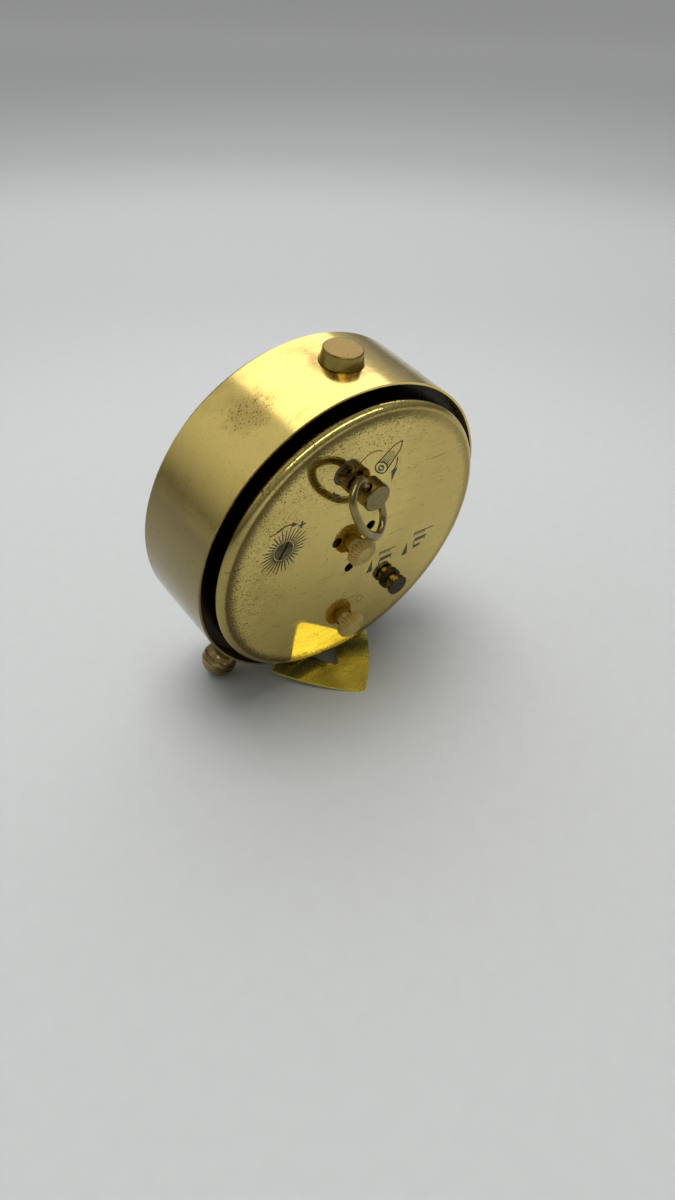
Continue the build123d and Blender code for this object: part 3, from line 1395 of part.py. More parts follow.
# Alarm arbor with its pinion, and the alarm wheel round the hour wheel's pipe
with BuildPart() as alarm_arbor:
    add(turned(ALARM_AXIS, ((ARBOR_RADIUS, alarm_wheel_level - SLIP, knob_rear - KNOB_DISH_DEPTH),)))
    add(
        toothed(
            ALARM_AXIS,
            ALARM_PINION_TEETH,
            alarm_module,
            facing_gap(HAND_AXIS, ALARM_AXIS, ALARM_PINION_TEETH),
            alarm_wheel_level - SLIP,
            THIN_WHEEL + 2 * SLIP,
            ARBOR_RADIUS / 2,
        )
    )
save("alarm_arbor", alarm_arbor.part)
with BuildPart() as alarm_wheel:
    add(
        toothed(
            HAND_AXIS,
            ALARM_WHEEL_TEETH,
            alarm_module,
            bearing_of(HAND_AXIS, ALARM_AXIS),
            alarm_wheel_level,
            THIN_WHEEL,
            HOUR_PIPE_RADIUS + PIPE_GAP,
        )
    )
    with BuildSketch(back.offset(alarm_hand_level)):
        Circle(ALARM_PIPE_RADIUS)
        Circle(HOUR_PIPE_RADIUS + PIPE_GAP, mode=Mode.SUBTRACT)
    extrude(amount=alarm_wheel_level - alarm_hand_level)
save("alarm_wheel", alarm_wheel.part)

# Hands, each on its own pipe
save(
    "alarm_hand",
    hand(
        ALARM_HAND_ANGLE,
        ALARM_HAND_LENGTH,
        alarm_hand_level,
        ALARM_PIPE_RADIUS + PIVOT_FIT,
        ALARM_HAND_HUB,
        ALARM_HAND_WIDTH,
    ),
)
save(
    "hour_hand",
    hand(
        HOUR_HAND_ANGLE,
        HOUR_HAND_LENGTH,
        hour_hand_level,
        HOUR_PIPE_RADIUS + PIVOT_FIT,
        HOUR_HAND_HUB,
        HOUR_HAND_WIDTH,
    ),
)
save(
    "minute_hand",
    hand(
        MINUTE_HAND_ANGLE,
        MINUTE_HAND_LENGTH,
        minute_hand_level,
        CANNON_PIPE_RADIUS + PIVOT_FIT,
        MINUTE_HAND_HUB,
        MINUTE_HAND_WIDTH,
    ),
)
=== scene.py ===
"""Looks of a small brass alarm clock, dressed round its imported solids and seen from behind.

Lengths on the clock are in millimetres, in the plane of its own back: right, up and out of the back. They
become metres of the frame only when a finished piece is put in its place. The floor, the lamps and the
camera are in metres from the start.
"""

import logging
import math
from collections.abc import Callable, Iterable, Sequence
from dataclasses import dataclass
from enum import Enum

import bmesh
import bpy
from mathutils import Euler, Matrix, Vector


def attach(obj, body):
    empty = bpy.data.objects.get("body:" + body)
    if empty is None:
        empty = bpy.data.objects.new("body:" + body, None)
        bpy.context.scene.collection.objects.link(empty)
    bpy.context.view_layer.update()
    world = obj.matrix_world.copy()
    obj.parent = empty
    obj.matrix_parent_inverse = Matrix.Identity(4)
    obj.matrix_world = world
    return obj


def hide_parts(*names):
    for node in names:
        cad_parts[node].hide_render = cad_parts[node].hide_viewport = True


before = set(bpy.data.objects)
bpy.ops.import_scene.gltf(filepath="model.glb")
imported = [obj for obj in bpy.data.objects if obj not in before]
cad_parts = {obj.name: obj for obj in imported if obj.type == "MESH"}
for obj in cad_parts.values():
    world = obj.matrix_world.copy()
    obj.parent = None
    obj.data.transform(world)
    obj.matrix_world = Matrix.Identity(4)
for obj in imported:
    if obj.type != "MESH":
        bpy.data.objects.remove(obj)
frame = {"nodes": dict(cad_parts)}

log = logging.getLogger("alarm_clock")

Colour = tuple[float, float, float]
Point = Vector | tuple[float, float]
Feed = bpy.types.NodeSocket | float | tuple[float, ...]

MM = 0.001
LEAN = math.radians(11.0)
LIP_SETBACK = 7.06
REST_DROP = 36.5753
COVER_FACE = 3.4
DIAL_FACE = -18.6
PRINT_SINK = 0.005


class Slot(Enum):
    """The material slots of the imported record."""

    POLISHED_BRASS = "polished_brass"
    COVER_BRASS = "cover_brass"
    STRUT_BRASS = "strut_brass"
    DARK_BRASS = "dark_brass"
    KEY_METAL = "key_metal"
    CREAM_PLASTIC = "cream_plastic"
    BLACKENED_STEEL = "blackened_steel"
    DIAL_PAINT = "dial_paint"
    CRYSTAL = "crystal"
    PLATE_BRASS = "plate_brass"
    STEEL = "steel"
    SPRING_STEEL = "spring_steel"


class Effect(Enum):
    """The surface effects that several finishes share, each one node group."""

    PATINA = "patina"
    HAIRLINES = "hairlines"
    PITS = "pits"
    NEARNESS = "nearness"


def case_matrix() -> Matrix:
    """The move from the back's millimetres to the frame's metres.

    Returns:
        A matrix that takes (right, up, out) of the leaning back to the frame.
    """
    cosine, sine = math.cos(LEAN), math.sin(LEAN)
    rows = (
        (-1.0, 0.0, 0.0, 0.0),
        (0.0, sine, cosine, LIP_SETBACK),
        (0.0, cosine, -sine, REST_DROP),
        (0.0, 0.0, 0.0, 1.0),
    )
    return Matrix.Scale(MM, 4) @ Matrix(rows)


def facing_dial() -> Matrix:
    """The half turn that lays a drawing made for the back onto the dial instead."""
    return Matrix.Rotation(math.pi, 4, "Y")


class Bench:
    """Adds and wires the nodes of one material or node group."""

    def __init__(self, tree: bpy.types.NodeTree) -> None:
        """Starts on an empty tree.

        Args:
            tree: The node tree that every node is added to.
        """
        self.tree = tree
        self.tree.nodes.clear()

    def node(self, kind: str, **settings: object) -> bpy.types.Node:
        """Adds a node.

        Args:
            kind: Its type, as Blender names it.
            settings: Properties of the node to set.

        Returns:
            The new node.
        """
        made = self.tree.nodes.new(kind)
        for name, value in settings.items():
            setattr(made, name, value)
        return made

    def feed(self, socket: bpy.types.NodeSocket, value: Feed) -> None:
        """Wires a socket, or sets its own value.

        Args:
            socket: The input to feed.
            value: Another node's output, or a plain value.
        """
        if isinstance(value, bpy.types.NodeSocket):
            self.tree.links.new(value, socket)
        else:
            socket.default_value = value

    def maths(self, operation: str, *values: Feed) -> bpy.types.NodeSocket:
        """Works out a number.

        Args:
            operation: The Math node's operation.
            values: Its inputs in order.

        Returns:
            The result's socket.
        """
        made = self.node("ShaderNodeMath", operation=operation)
        for socket, value in zip(made.inputs, values):
            self.feed(socket, value)
        return made.outputs[0]

    def times(self, *values: Feed) -> bpy.types.NodeSocket:
        """Multiplies numbers.

        Args:
            values: Two numbers or more.

        Returns:
            Their product's socket.
        """
        product = values[0]
        for value in values[1:]:
            product = self.maths("MULTIPLY", product, value)
        return product

    def axes(self, point: Feed) -> bpy.types.bpy_prop_collection:
        """Splits a place into X, Y and Z.

        Args:
            point: The place.

        Returns:
            The three sockets, by their names.
        """
        made = self.node("ShaderNodeSeparateXYZ")
        self.feed(made.inputs[0], point)
        return made.outputs

    def length(self, point: Feed) -> bpy.types.NodeSocket:
        """Measures how far a place is from the origin.

        Args:
            point: The place.

        Returns:
            The distance's socket.
        """
        made = self.node("ShaderNodeVectorMath", operation="LENGTH")
        self.feed(made.inputs[0], point)
        return made.outputs["Value"]

    def eased(
        self, value: Feed, low: Feed, high: Feed, start: Feed = 0.0, end: Feed = 1.0
    ) -> bpy.types.NodeSocket:
        """Maps a number smoothly from one range to another, and holds it at the ends.

        Args:
            value: The number.
            low: Where the first range starts.
            high: Where it ends.
            start: What the result is at low.
            end: What it is at high.

        Returns:
            The result's socket.
        """
        made = self.node("ShaderNodeMapRange", interpolation_type="SMOOTHSTEP")
        for socket, fed in zip(made.inputs, (value, low, high, start, end)):
            self.feed(socket, fed)
        return made.outputs[0]

    def mixed(self, share: Feed, first: Feed, second: Feed) -> bpy.types.NodeSocket:
        """Mixes two colours.

        Args:
            share: How much of the second colour, from 0 to 1.
            first: The colour at 0.
            second: The colour at 1.

        Returns:
            The mixed colour's socket.
        """
        made = self.node("ShaderNodeMix", data_type="RGBA")
        self.feed(made.inputs[0], share)
        self.feed(made.inputs[6], rgba(first))
        self.feed(made.inputs[7], rgba(second))
        return made.outputs[2]

    def noise(
        self, point: Feed, scale: Feed, detail: float = 3.0, roughness: float = 0.55
    ) -> bpy.types.NodeSocket:
        """Adds a cloudy noise.

        Args:
            point: Where it is read.
            scale: Clouds per millimetre.
            detail: How many finer layers it has.
            roughness: How strong the finer layers are.

        Returns:
            The noise, around 0.5.
        """
        made = self.node("ShaderNodeTexNoise")
        self.feed(made.inputs["Vector"], point)
        self.feed(made.inputs["Scale"], scale)
        made.inputs["Detail"].default_value = detail
        made.inputs["Roughness"].default_value = roughness
        return made.outputs[0]

    def turned(self, point: Feed, turn: Colour, stretch: Colour) -> bpy.types.NodeSocket:
        """Turns and stretches the place where a pattern is read.

        Args:
            point: The place.
            turn: The turn about each axis, in degrees.
            stretch: The factor along each axis.

        Returns:
            The new place's socket.
        """
        made = self.node("ShaderNodeMapping")
        self.feed(made.inputs["Vector"], point)
        made.inputs["Rotation"].default_value = tuple(math.radians(angle) for angle in turn)
        made.inputs["Scale"].default_value = stretch
        return made.outputs[0]

    def effect(self, effect: Effect, point: Feed, size: Feed, amount: Feed) -> bpy.types.NodeSocket:
        """Places one of the shared effects.

        Args:
            effect: Which one.
            point: Where its pattern is read, in millimetres.
            size: The pattern's size.
            amount: How much of it there is.

        Returns:
            The effect's mask.
        """
        made = self.node("ShaderNodeGroup", node_tree=effect_tree(effect))
        for socket, fed in zip(made.inputs, (point, size, amount)):
            self.feed(socket, fed)
        return made.outputs[0]

    def case_point(self) -> bpy.types.NodeSocket:
        """The place on the surface in the back's millimetres: right, up and out.

        Returns:
            The place's socket.
        """
        place = self.node("ShaderNodeMapping", vector_type="TEXTURE")
        matrix = case_matrix()
        self.feed(place.inputs["Vector"], self.node("ShaderNodeTexCoord").outputs["Object"])
        place.inputs["Location"].default_value = matrix.to_translation()
        place.inputs["Rotation"].default_value = matrix.to_euler()
        place.inputs["Scale"].default_value = (MM, MM, MM)
        return place.outputs[0]

    def bumped(self, height: Feed, depth: float, strength: float = 1.0) -> bpy.types.NodeSocket:
        """Turns a height into a normal.

        Args:
            height: The height, from 0 to 1.
            depth: What a height of 1 is, in millimetres.
            strength: How much of it shows.

        Returns:
            The normal's socket.
        """
        made = self.node("ShaderNodeBump")
        made.inputs["Strength"].default_value = strength
        made.inputs["Distance"].default_value = depth * MM
        self.feed(made.inputs["Height"], height)
        return made.outputs[0]

    def shaded(self, plain: dict[str, object], **wired: Feed) -> None:
        """Ends a material in a Principled shader.

        Args:
            plain: Values set on the shader's own sockets, by socket name.
            wired: Sockets to wire, with underscores for the blanks in their names.
        """
        shader = self.node("ShaderNodeBsdfPrincipled")
        for name, value in plain.items():
            shader.inputs[name].default_value = value
        for name, value in wired.items():
            self.feed(shader.inputs[name.replace("_", " ").title().replace("Ior", "IOR")], value)
        result = self.node("ShaderNodeOutputMaterial")
        self.feed(result.inputs["Surface"], shader.outputs[0])


def new_material(name: str) -> tuple[bpy.types.Material, Bench]:
    """Starts a material.

    Args:
        name: What it is called.

    Returns:
        The empty material and its bench.
    """
    material = bpy.data.materials.new(name)
    material.use_nodes = True
    return material, Bench(material.node_tree)


def rgba(value: Feed) -> Feed:
    """A colour with its alpha, where it is given as plain red, green and blue."""
    return (*value, 1.0) if isinstance(value, tuple) and len(value) == 3 else value


class EffectGroup:
    """The node group of one shared effect.

    It reads a place in millimetres, the size of the pattern and its amount. Each effect has its own method,
    called as the effect is, which returns the mask.
    """

    def __init__(self, effect: Effect) -> None:
        """Makes the group.

        Args:
            effect: Which effect it holds.
        """
        tree = bpy.data.node_groups.new(effect.value, "ShaderNodeTree")
        tree.interface.new_socket(name="Point", in_out="INPUT", socket_type="NodeSocketVector")
        for name in ("Size", "Amount"):
            entering = tree.interface.new_socket(name=name, in_out="INPUT", socket_type="NodeSocketFloat")
            entering.default_value = 1.0
        tree.interface.new_socket(name="Mask", in_out="OUTPUT", socket_type="NodeSocketFloat")
        self.tree = tree
        self.bench = Bench(tree)
        self.point, self.size, self.amount = self.bench.node("NodeGroupInput").outputs[:3]
        makers: dict[Effect, Callable[[], Feed]] = {
            Effect.PATINA: self.patina,
            Effect.HAIRLINES: self.hairlines,
            Effect.PITS: self.pits,
            Effect.NEARNESS: self.nearness,
        }
        mask = makers[effect]()
        self.bench.feed(self.bench.node("NodeGroupOutput").inputs[0], mask)

    def patina(self) -> Feed:
        """Clouds of tarnish; the amount is the share of the surface that they cover."""
        bench = self.bench
        cloud = bench.noise(self.point, bench.maths("DIVIDE", 1.0, self.size), 6.0, 0.62)
        edge = bench.maths("SUBTRACT", 0.78, bench.times(self.amount, 0.5))
        return bench.eased(cloud, bench.maths("SUBTRACT", edge, 0.16), bench.maths("ADD", edge, 0.16))

    def hairlines(self) -> Feed:
        """Fine scratches that run several ways and break off; the amount is how thick they are."""
        bench = self.bench
        scale = bench.maths("DIVIDE", 1.0, self.size)
        kept: Feed = 0.0
        for turn, stretch in ((18.0, 0.05), (71.0, 0.08), (118.0, 0.06), (155.0, 0.12)):
            along = bench.turned(self.point, (turn * 0.3, 0.0, turn), (stretch, 1.0, 1.0))
            line = bench.maths("ABSOLUTE", bench.maths("SUBTRACT", bench.noise(along, scale, 1.0), 0.5))
            thin = bench.eased(line, 0.0, bench.times(self.amount, 0.012), 1.0, 0.0)
            there = bench.eased(bench.noise(along, bench.times(scale, 0.31), 1.0), 0.5, 0.6)
            kept = bench.maths("MAXIMUM", kept, bench.times(thin, there))
        return kept

    def pits(self) -> Feed:
        """Small dark specks of several sizes; the amount is how much of its cell a speck may fill."""
        bench = self.bench
        cells = bench.node("ShaderNodeTexVoronoi", feature="F1")
        bench.feed(cells.inputs["Vector"], self.point)
        bench.feed(cells.inputs["Scale"], bench.maths("DIVIDE", 1.0, self.size))
        luck = bench.node("ShaderNodeSeparateColor")
        bench.feed(luck.inputs[0], cells.outputs["Color"])
        reach = bench.times(bench.maths("POWER", luck.outputs[0], 3.0), self.amount)
        return bench.eased(cells.outputs["Distance"], bench.times(reach, 0.6), reach, 1.0, 0.0)

    def nearness(self) -> Feed:
        """A soft round patch about the origin; the size is its radius, the amount how ragged it is."""
        bench = self.bench
        cloud = bench.noise(self.point, bench.maths("DIVIDE", 2.5, self.size), 4.0)
        ragged = bench.times(bench.maths("SUBTRACT", cloud, 0.5), self.size, self.amount, 2.0)
        reach = bench.maths("ADD", bench.length(self.point), ragged)
        return bench.eased(reach, bench.times(self.size, 0.35), self.size, 1.0, 0.0)


def effect_tree(effect: Effect) -> bpy.types.NodeTree:
    """Gives a shared effect's node group, made the first time that it is asked for.

    Args:
        effect: Which effect.

    Returns:
        Its node tree, with Point, Size and Amount going in and Mask coming out.
    """
    known = bpy.data.node_groups.get(effect.value)
    return EffectGroup(effect).tree if known is None else known


@dataclass
class Surface:
    """A surface that is being finished: its bench, the place on it, and its looks so far."""

    bench: Bench
    point: Feed
    colour: Feed
    roughness: Feed
    height: Feed

    def lay(self, mask: Feed, colour: Feed, share: float = 1.0, roughness: float = 0.0) -> None:
        """Lays a colour over the surface.

        Args:
            mask: Where it goes.
            colour: The colour.
            share: How much of it shows there.
            roughness: How much rougher the surface gets there.
        """
        shown = mask if share == 1.0 else self.bench.times(mask, share)
        self.colour = self.bench.mixed(shown, self.colour, colour)
        if roughness:
            self.roughness = self.bench.maths("ADD", self.roughness, self.bench.times(mask, roughness))

    def patch(self, centre: Colour, radius: float) -> Feed:
        """Finds a ragged patch about one point of the case.

        Args:
            centre: The patch's middle, in the back's millimetres.
            radius: Its radius.

        Returns:
            The patch's mask.
        """
        moved = self.bench.node("ShaderNodeVectorMath", operation="SUBTRACT")
        self.bench.feed(moved.inputs[0], self.point)
        self.bench.feed(moved.inputs[1], centre)
        return self.bench.effect(Effect.NEARNESS, moved.outputs[0], radius, 0.6)


@dataclass(frozen=True)
class MetalFinish:
    """A worn metal, with tarnish in clouds, hairline scratches and specks."""

    name: str
    clean: Colour
    tarnished: Colour
    dirt: Colour = (0.03, 0.02, 0.008)
    roughness: float = 0.15
    metallic: float = 1.0
    cloud_size: float = 9.0
    tarnish: float = 0.4
    scratch_gap: float = 1.2
    scratches: float = 0.45
    scratch_share: float = 0.35
    pit_gap: float = 0.6
    pits: float = 0.2
    pit_share: float = 0.85
    mark_roughness: float = 0.25
    grain_scale: float = 3.0
    grain_depth: float = 0.004

    def build(self) -> bpy.types.Material:
        """Makes the material.

        Returns:
            The finished material.
        """
        material, bench = new_material(self.name)
        surface = self.fresh(bench)
        self.wear(surface)
        bench.shaded(
            {"Metallic": self.metallic},
            base_color=surface.colour,
            roughness=surface.roughness,
            normal=bench.bumped(surface.height, self.grain_depth),
        )
        return material

    def fresh(self, bench: Bench) -> Surface:
        """Lays the clean metal and its clouds of tarnish.

        Args:
            bench: The material's bench.

        Returns:
            The surface.
        """
        point = bench.case_point()
        cloud = bench.effect(Effect.PATINA, point, self.cloud_size, self.tarnish)
        grain = bench.noise(point, self.grain_scale, 4.0)
        rough = bench.eased(cloud, 0.0, 1.0, self.roughness, self.roughness * 1.5)
        rough = bench.maths("ADD", rough, bench.eased(grain, 0.3, 0.8, 0.0, 0.05))
        surface = Surface(bench, point, self.clean, rough, grain)
        surface.lay(cloud, self.tarnished)
        surface.lay(bench.eased(grain, 0.35, 0.75, 0.0, 0.18), self.tarnished)
        return surface

    def wear(self, surface: Surface) -> None:
        """Adds the scratches and specks.

        Args:
            surface: What they go on.
        """
        bench = surface.bench
        lines = bench.effect(Effect.HAIRLINES, surface.point, self.scratch_gap, self.scratches)
        specks = bench.effect(Effect.PITS, surface.point, self.pit_gap, self.pits)
        surface.lay(lines, self.dirt, self.scratch_share)
        surface.lay(specks, self.dirt, self.pit_share)
        marks = bench.maths("MAXIMUM", lines, specks)
        surface.roughness = bench.maths("ADD", surface.roughness, bench.times(marks, self.mark_roughness))
        surface.height = bench.maths("SUBTRACT", bench.times(surface.height, 0.4), marks)


@dataclass(frozen=True)
class CappedFinish(MetalFinish):
    """A metal whose flat end, past one level, has gone another colour than its side."""

    cap: Colour = (0.25, 0.19, 0.08)
    cap_roughness: float = 0.25
    cap_axis: str = "Z"
    cap_level: float = 8.1
    cap_edge: float = 0.06

    def wear(self, surface: Surface) -> None:
        """Lays the end's own colour, mottled, and then the usual wear.

        Args:
            surface: What they go on.
        """
        bench = surface.bench
        along = bench.axes(surface.point)[self.cap_axis]
        past = bench.eased(along, self.cap_level - self.cap_edge, self.cap_level + self.cap_edge)
        surface.lay(past, bench.mixed(bench.eased(surface.height, 0.4, 0.7, 0.0, 0.4), self.cap, self.dirt))
        own = bench.times(past, bench.maths("SUBTRACT", self.cap_roughness, surface.roughness))
        surface.roughness = bench.maths("ADD", surface.roughness, own)
        super().wear(surface)


@dataclass(frozen=True)
class DrumFinish(MetalFinish):
    """The drum's brass: brown round the button, speckled where hands take hold, with painted shade low down.
    """

    button: Colour = (0.0, 35.0, -9.8)
    halo_radius: float = 8.0
    halo_share: float = 0.65
    speckles: Colour = (-19.6, 29.0, -10.5)
    speckle_radius: float = 6.0
    dot_gap: float = 0.36
    haze: float = 0.28
    stain: Colour = (0.3, 0.18, 0.05)
    underside_shade: Colour = (0.27, 0.215, 0.09)
    underside_shade_start: float = 18.0
    underside_shade_end: float = 9.0

    def wear(self, surface: Surface) -> None:
        """Adds the stain, the cloud of speckles and the painted shade low on the drum, and then the usual
        wear.

        Args:
            surface: What they go on.
        """
        bench = surface.bench
        halo = surface.patch(self.button, self.halo_radius)
        surface.lay(halo, self.stain, self.halo_share, roughness=0.08)
        dots = bench.effect(Effect.PITS, surface.point, self.dot_gap, 1.1)
        cloud = surface.patch(self.speckles, self.speckle_radius)
        surface.lay(bench.times(bench.maths("MAXIMUM", dots, self.haze), cloud), self.stain)
        # Painted shade: the drum darkens towards its bottom, standing in for the shadowed floor that it
        # reflects there.
        up = bench.axes(surface.point)["Y"]
        surface.lay(bench.eased(up, self.underside_shade_end, self.underside_shade_start, 1.0, 0.0), self.underside_shade)
        super().wear(surface)


@dataclass(frozen=True)
class CoverFinish(MetalFinish):
    """The cover's near mirror: pitted at its upper left, darker towards its right, with painted shade low on
    its left shoulder, in the bend inside its shoulder and down its side wall.

    Its radii are measured from the cover's middle.
    """

    dot_gap: float = 0.24
    dots_start: float = 12.0
    dots_end: float = 30.0
    pitted_start: float = -8.0
    pitted_end: float = 14.0
    right_dark_start: float = 2.0
    right_dark_end: float = 20.0
    # Painted shade in the bend at the foot of the shoulder: its radii, edge, spread, ragged edge and colour.
    bend_shade_start: float = 28.2
    bend_shade_end: float = 31.0
    bend_shade_edge: float = 0.6
    bend_shade_spread: float = 1.2
    bend_shade_fur: float = 0.9
    bend_shade: Colour = (0.115, 0.078, 0.024)
    # Painted shade on the lower left of the shoulder: where it fades in, and its colour.
    shoulder_start: float = 30.8
    shoulder_end: float = 31.6
    shoulder: Colour = (0.36, 0.28, 0.09)
    # Painted shade on the side wall down in the gap: where it fades out, and its dark colour.
    skirt_shade_low: float = 1.0
    skirt_shade_high: float = 2.7
    skirt_shade: Colour = (0.09, 0.06, 0.02)

    def wear(self, surface: Surface) -> None:
        """Lays the cover's dense specks, its darker right and its painted shade in turn, and then the usual
        scratches and specks.

        Args:
            surface: What they go on.
        """
        bench = surface.bench
        axes = bench.axes(surface.point)
        radius = bench.length(bench.turned(surface.point, (0.0, 0.0, 0.0), (1.0, 1.0, 0.0)))
        surface.lay(self.dense_dots(surface, radius), self.dirt, roughness=0.2)
        # Darker towards the right, mixed towards the tarnished colour.
        surface.lay(bench.eased(axes["X"], self.right_dark_start, self.right_dark_end, 0.0, 0.8), self.tarnished)
        # Painted shade: the rounded shoulder darkens at the lower left.
        surface.lay(self.shaded_shoulder(surface, radius), self.shoulder)
        # Painted shade in the bend inside the shoulder.
        surface.lay(self.bend_shade_ring(surface, radius), self.bend_shade, roughness=0.12)
        # Painted shade: the side wall goes dark towards the bottom of the gap.
        surface.lay(bench.eased(axes["Z"], self.skirt_shade_low, self.skirt_shade_high, 0.95, 0.0), self.skirt_shade)
        super().wear(surface)

    def dense_dots(self, surface: Surface, radius: Feed) -> Feed:
        """Finds the dense specks, which lie in patches near the rim at the upper left.

        Args:
            surface: The cover's surface.
            radius: The place's radius.

        Returns:
            Their mask.
        """
        bench, point = surface.bench, surface.point
        near_rim = bench.eased(radius, self.dots_start, self.dots_end)
        slanting = bench.axes(bench.turned(point, (0.0, 0.0, -45.0), (1.0, 1.0, 1.0)))
        upper_left = bench.eased(slanting["Y"], self.pitted_start, self.pitted_end)
        patchy = bench.eased(bench.noise(point, 0.35, 4.0), 0.32, 0.6, 0.25, 1.0)
        return bench.times(bench.effect(Effect.PITS, point, self.dot_gap, 0.95), near_rim, upper_left, patchy)

    def shaded_shoulder(self, surface: Surface, radius: Feed) -> Feed:
        """Finds the rounded shoulder at the lower left, which is darkened there as painted shade.

        Args:
            surface: The cover's surface.
            radius: The place's radius.

        Returns:
            The shoulder's mask.
        """
        bench = surface.bench
        axes = bench.axes(surface.point)
        slanting = bench.maths("ADD", axes["X"], bench.times(axes["Y"], 1.5))
        lower_left = bench.eased(slanting, -10.0, 10.0, 0.85, 0.0)
        return bench.times(lower_left, bench.eased(radius, self.shoulder_start, self.shoulder_end))

    def bend_shade_ring(self, surface: Surface, radius: Feed) -> Feed:
        """Finds the furry band of painted shade in the bend at the foot of the rounded shoulder, widest at
        the upper left.

        Args:
            surface: The cover's surface.
            radius: The place's radius.

        Returns:
            The band's mask.
        """
        bench, point = surface.bench, surface.point
        axes = bench.axes(point)
        slanting = bench.maths("SUBTRACT", axes["Y"], axes["X"])
        narrowed = bench.eased(slanting, -6.0, 34.0, self.bend_shade_spread, 0.0)
        furry = bench.eased(bench.noise(point, 3.2, 3.0, 0.75), 0.3, 0.7, -self.bend_shade_fur, self.bend_shade_fur)
        start = bench.maths("ADD", narrowed, self.bend_shade_start)
        inner = bench.eased(bench.maths("ADD", radius, furry), start, self.bend_shade_end - self.bend_shade_edge)
        outer = bench.eased(radius, self.bend_shade_end, self.bend_shade_end + self.bend_shade_edge, 1.0, 0.0)
        return bench.times(inner, outer, bench.eased(axes["X"], 0.0, 20.0, 0.95, 0.45))


@dataclass(frozen=True)
class MouldedFinish:
    """A moulded plastic or a paint: slightly mottled, with dirt gathered in clouds."""

    name: str
    colour: Colour
    shade: Colour
    roughness: float = 0.35
    soft: float = 0.0
    coat: float = 0.0
    mottle_scale: float = 1.6
    relief: float = 0.01

    def build(self) -> bpy.types.Material:
        """Makes the material.

        Returns:
            The finished material.
        """
        material, bench = new_material(self.name)
        point = bench.case_point()
        cloud = bench.effect(Effect.PATINA, point, 3.0, 0.45)
        fine = bench.noise(point, self.mottle_scale, 5.0)
        specks = bench.effect(Effect.PITS, point, 0.9, 0.18)
        colour = bench.mixed(bench.times(cloud, 0.55), self.colour, self.shade)
        colour = bench.mixed(bench.times(specks, 0.5), colour, self.shade)
        rough = bench.eased(fine, 0.3, 0.7, self.roughness - 0.06, self.roughness + 0.08)
        plain = {
            "Subsurface Weight": self.soft,
            "Subsurface Radius": (1.2 * MM, 0.8 * MM, 0.4 * MM),
            "Subsurface Scale": 1.0,
            "Coat Weight": self.coat,
            "Coat Roughness": 0.12,
        }
        bench.shaded(plain, base_color=colour, roughness=rough, normal=bench.bumped(fine, self.relief))
        return material


@dataclass(frozen=True)
class GlassFinish:
    """The clear crystal, with a faint haze of fine scratches."""

    name: str
    tint: Colour = (0.97, 0.99, 0.98)

    def build(self) -> bpy.types.Material:
        """Makes the material.

        Returns:
            The finished material.
        """
        material, bench = new_material(self.name)
        point = bench.case_point()
        lines = bench.effect(Effect.HAIRLINES, point, 1.4, 0.4)
        rough = bench.eased(lines, 0.0, 1.0, 0.01, 0.16)
        plain = {"Transmission Weight": 1.0, "IOR": 1.49}
        tint = bench.mixed(bench.times(lines, 0.1), self.tint, (0.9, 0.92, 0.9))
        bench.shaded(plain, base_color=tint, roughness=rough, normal=bench.bumped(lines, 0.002))
        return material


FINISHES = {
    Slot.POLISHED_BRASS: DrumFinish(
        "polished_brass",
        (0.85, 0.65, 0.2),
        (0.58, 0.42, 0.125),
        roughness=0.13,
        tarnish=0.36,
        cloud_size=14.0,
    ),
    Slot.COVER_BRASS: CoverFinish(
        "cover_brass",
        (0.72, 0.57, 0.18),
        (0.56, 0.43, 0.13),
        roughness=0.05,
        tarnish=0.3,
        scratches=0.6,
        scratch_gap=1.7,
        pit_gap=0.5,
        pits=0.3,
        grain_depth=0.002,
    ),
    Slot.STRUT_BRASS: MetalFinish(
        "strut_brass",
        (1.0, 0.87, 0.17),
        (0.95, 0.77, 0.11),
        roughness=0.24,
        metallic=0.88,
        tarnish=0.2,
        pits=0.1,
    ),
    Slot.DARK_BRASS: MetalFinish(
        "dark_brass",
        (0.36, 0.27, 0.11),
        (0.15, 0.1, 0.04),
        roughness=0.2,
        cloud_size=3.5,
        tarnish=0.45,
        pits=0.15,
    ),
    Slot.KEY_METAL: MetalFinish(
        "key_metal",
        (0.28, 0.225, 0.08),
        (0.16, 0.12, 0.045),
        roughness=0.18,
        cloud_size=3.0,
        tarnish=0.4,
        scratch_gap=0.7,
        pit_gap=0.5,
    ),
    Slot.CREAM_PLASTIC: MouldedFinish(
        "cream_plastic", (0.62, 0.45, 0.11), (0.42, 0.26, 0.045), roughness=0.36, soft=0.08, coat=0.05
    ),
    Slot.BLACKENED_STEEL: MetalFinish(
        "blackened_steel", (0.035, 0.033, 0.03), (0.09, 0.06, 0.03), roughness=0.4, grain_scale=6.0
    ),
    Slot.DIAL_PAINT: MouldedFinish(
        "dial_paint", (0.82, 0.78, 0.66), (0.7, 0.62, 0.45), roughness=0.5, mottle_scale=0.5, relief=0.003
    ),
    Slot.CRYSTAL: GlassFinish("crystal"),
    Slot.PLATE_BRASS: MetalFinish(
        "plate_brass", (0.78, 0.62, 0.28), (0.55, 0.4, 0.17), roughness=0.28, scratch_gap=0.35, scratches=1.0
    ),
    Slot.STEEL: MetalFinish(
        "steel", (0.56, 0.56, 0.55), (0.4, 0.38, 0.35), roughness=0.25, scratch_gap=0.4, grain_scale=5.0
    ),
    Slot.SPRING_STEEL: MetalFinish(
        "spring_steel", (0.16, 0.19, 0.3), (0.1, 0.1, 0.14), roughness=0.25, scratch_gap=0.4, grain_scale=5.0
    ),
}

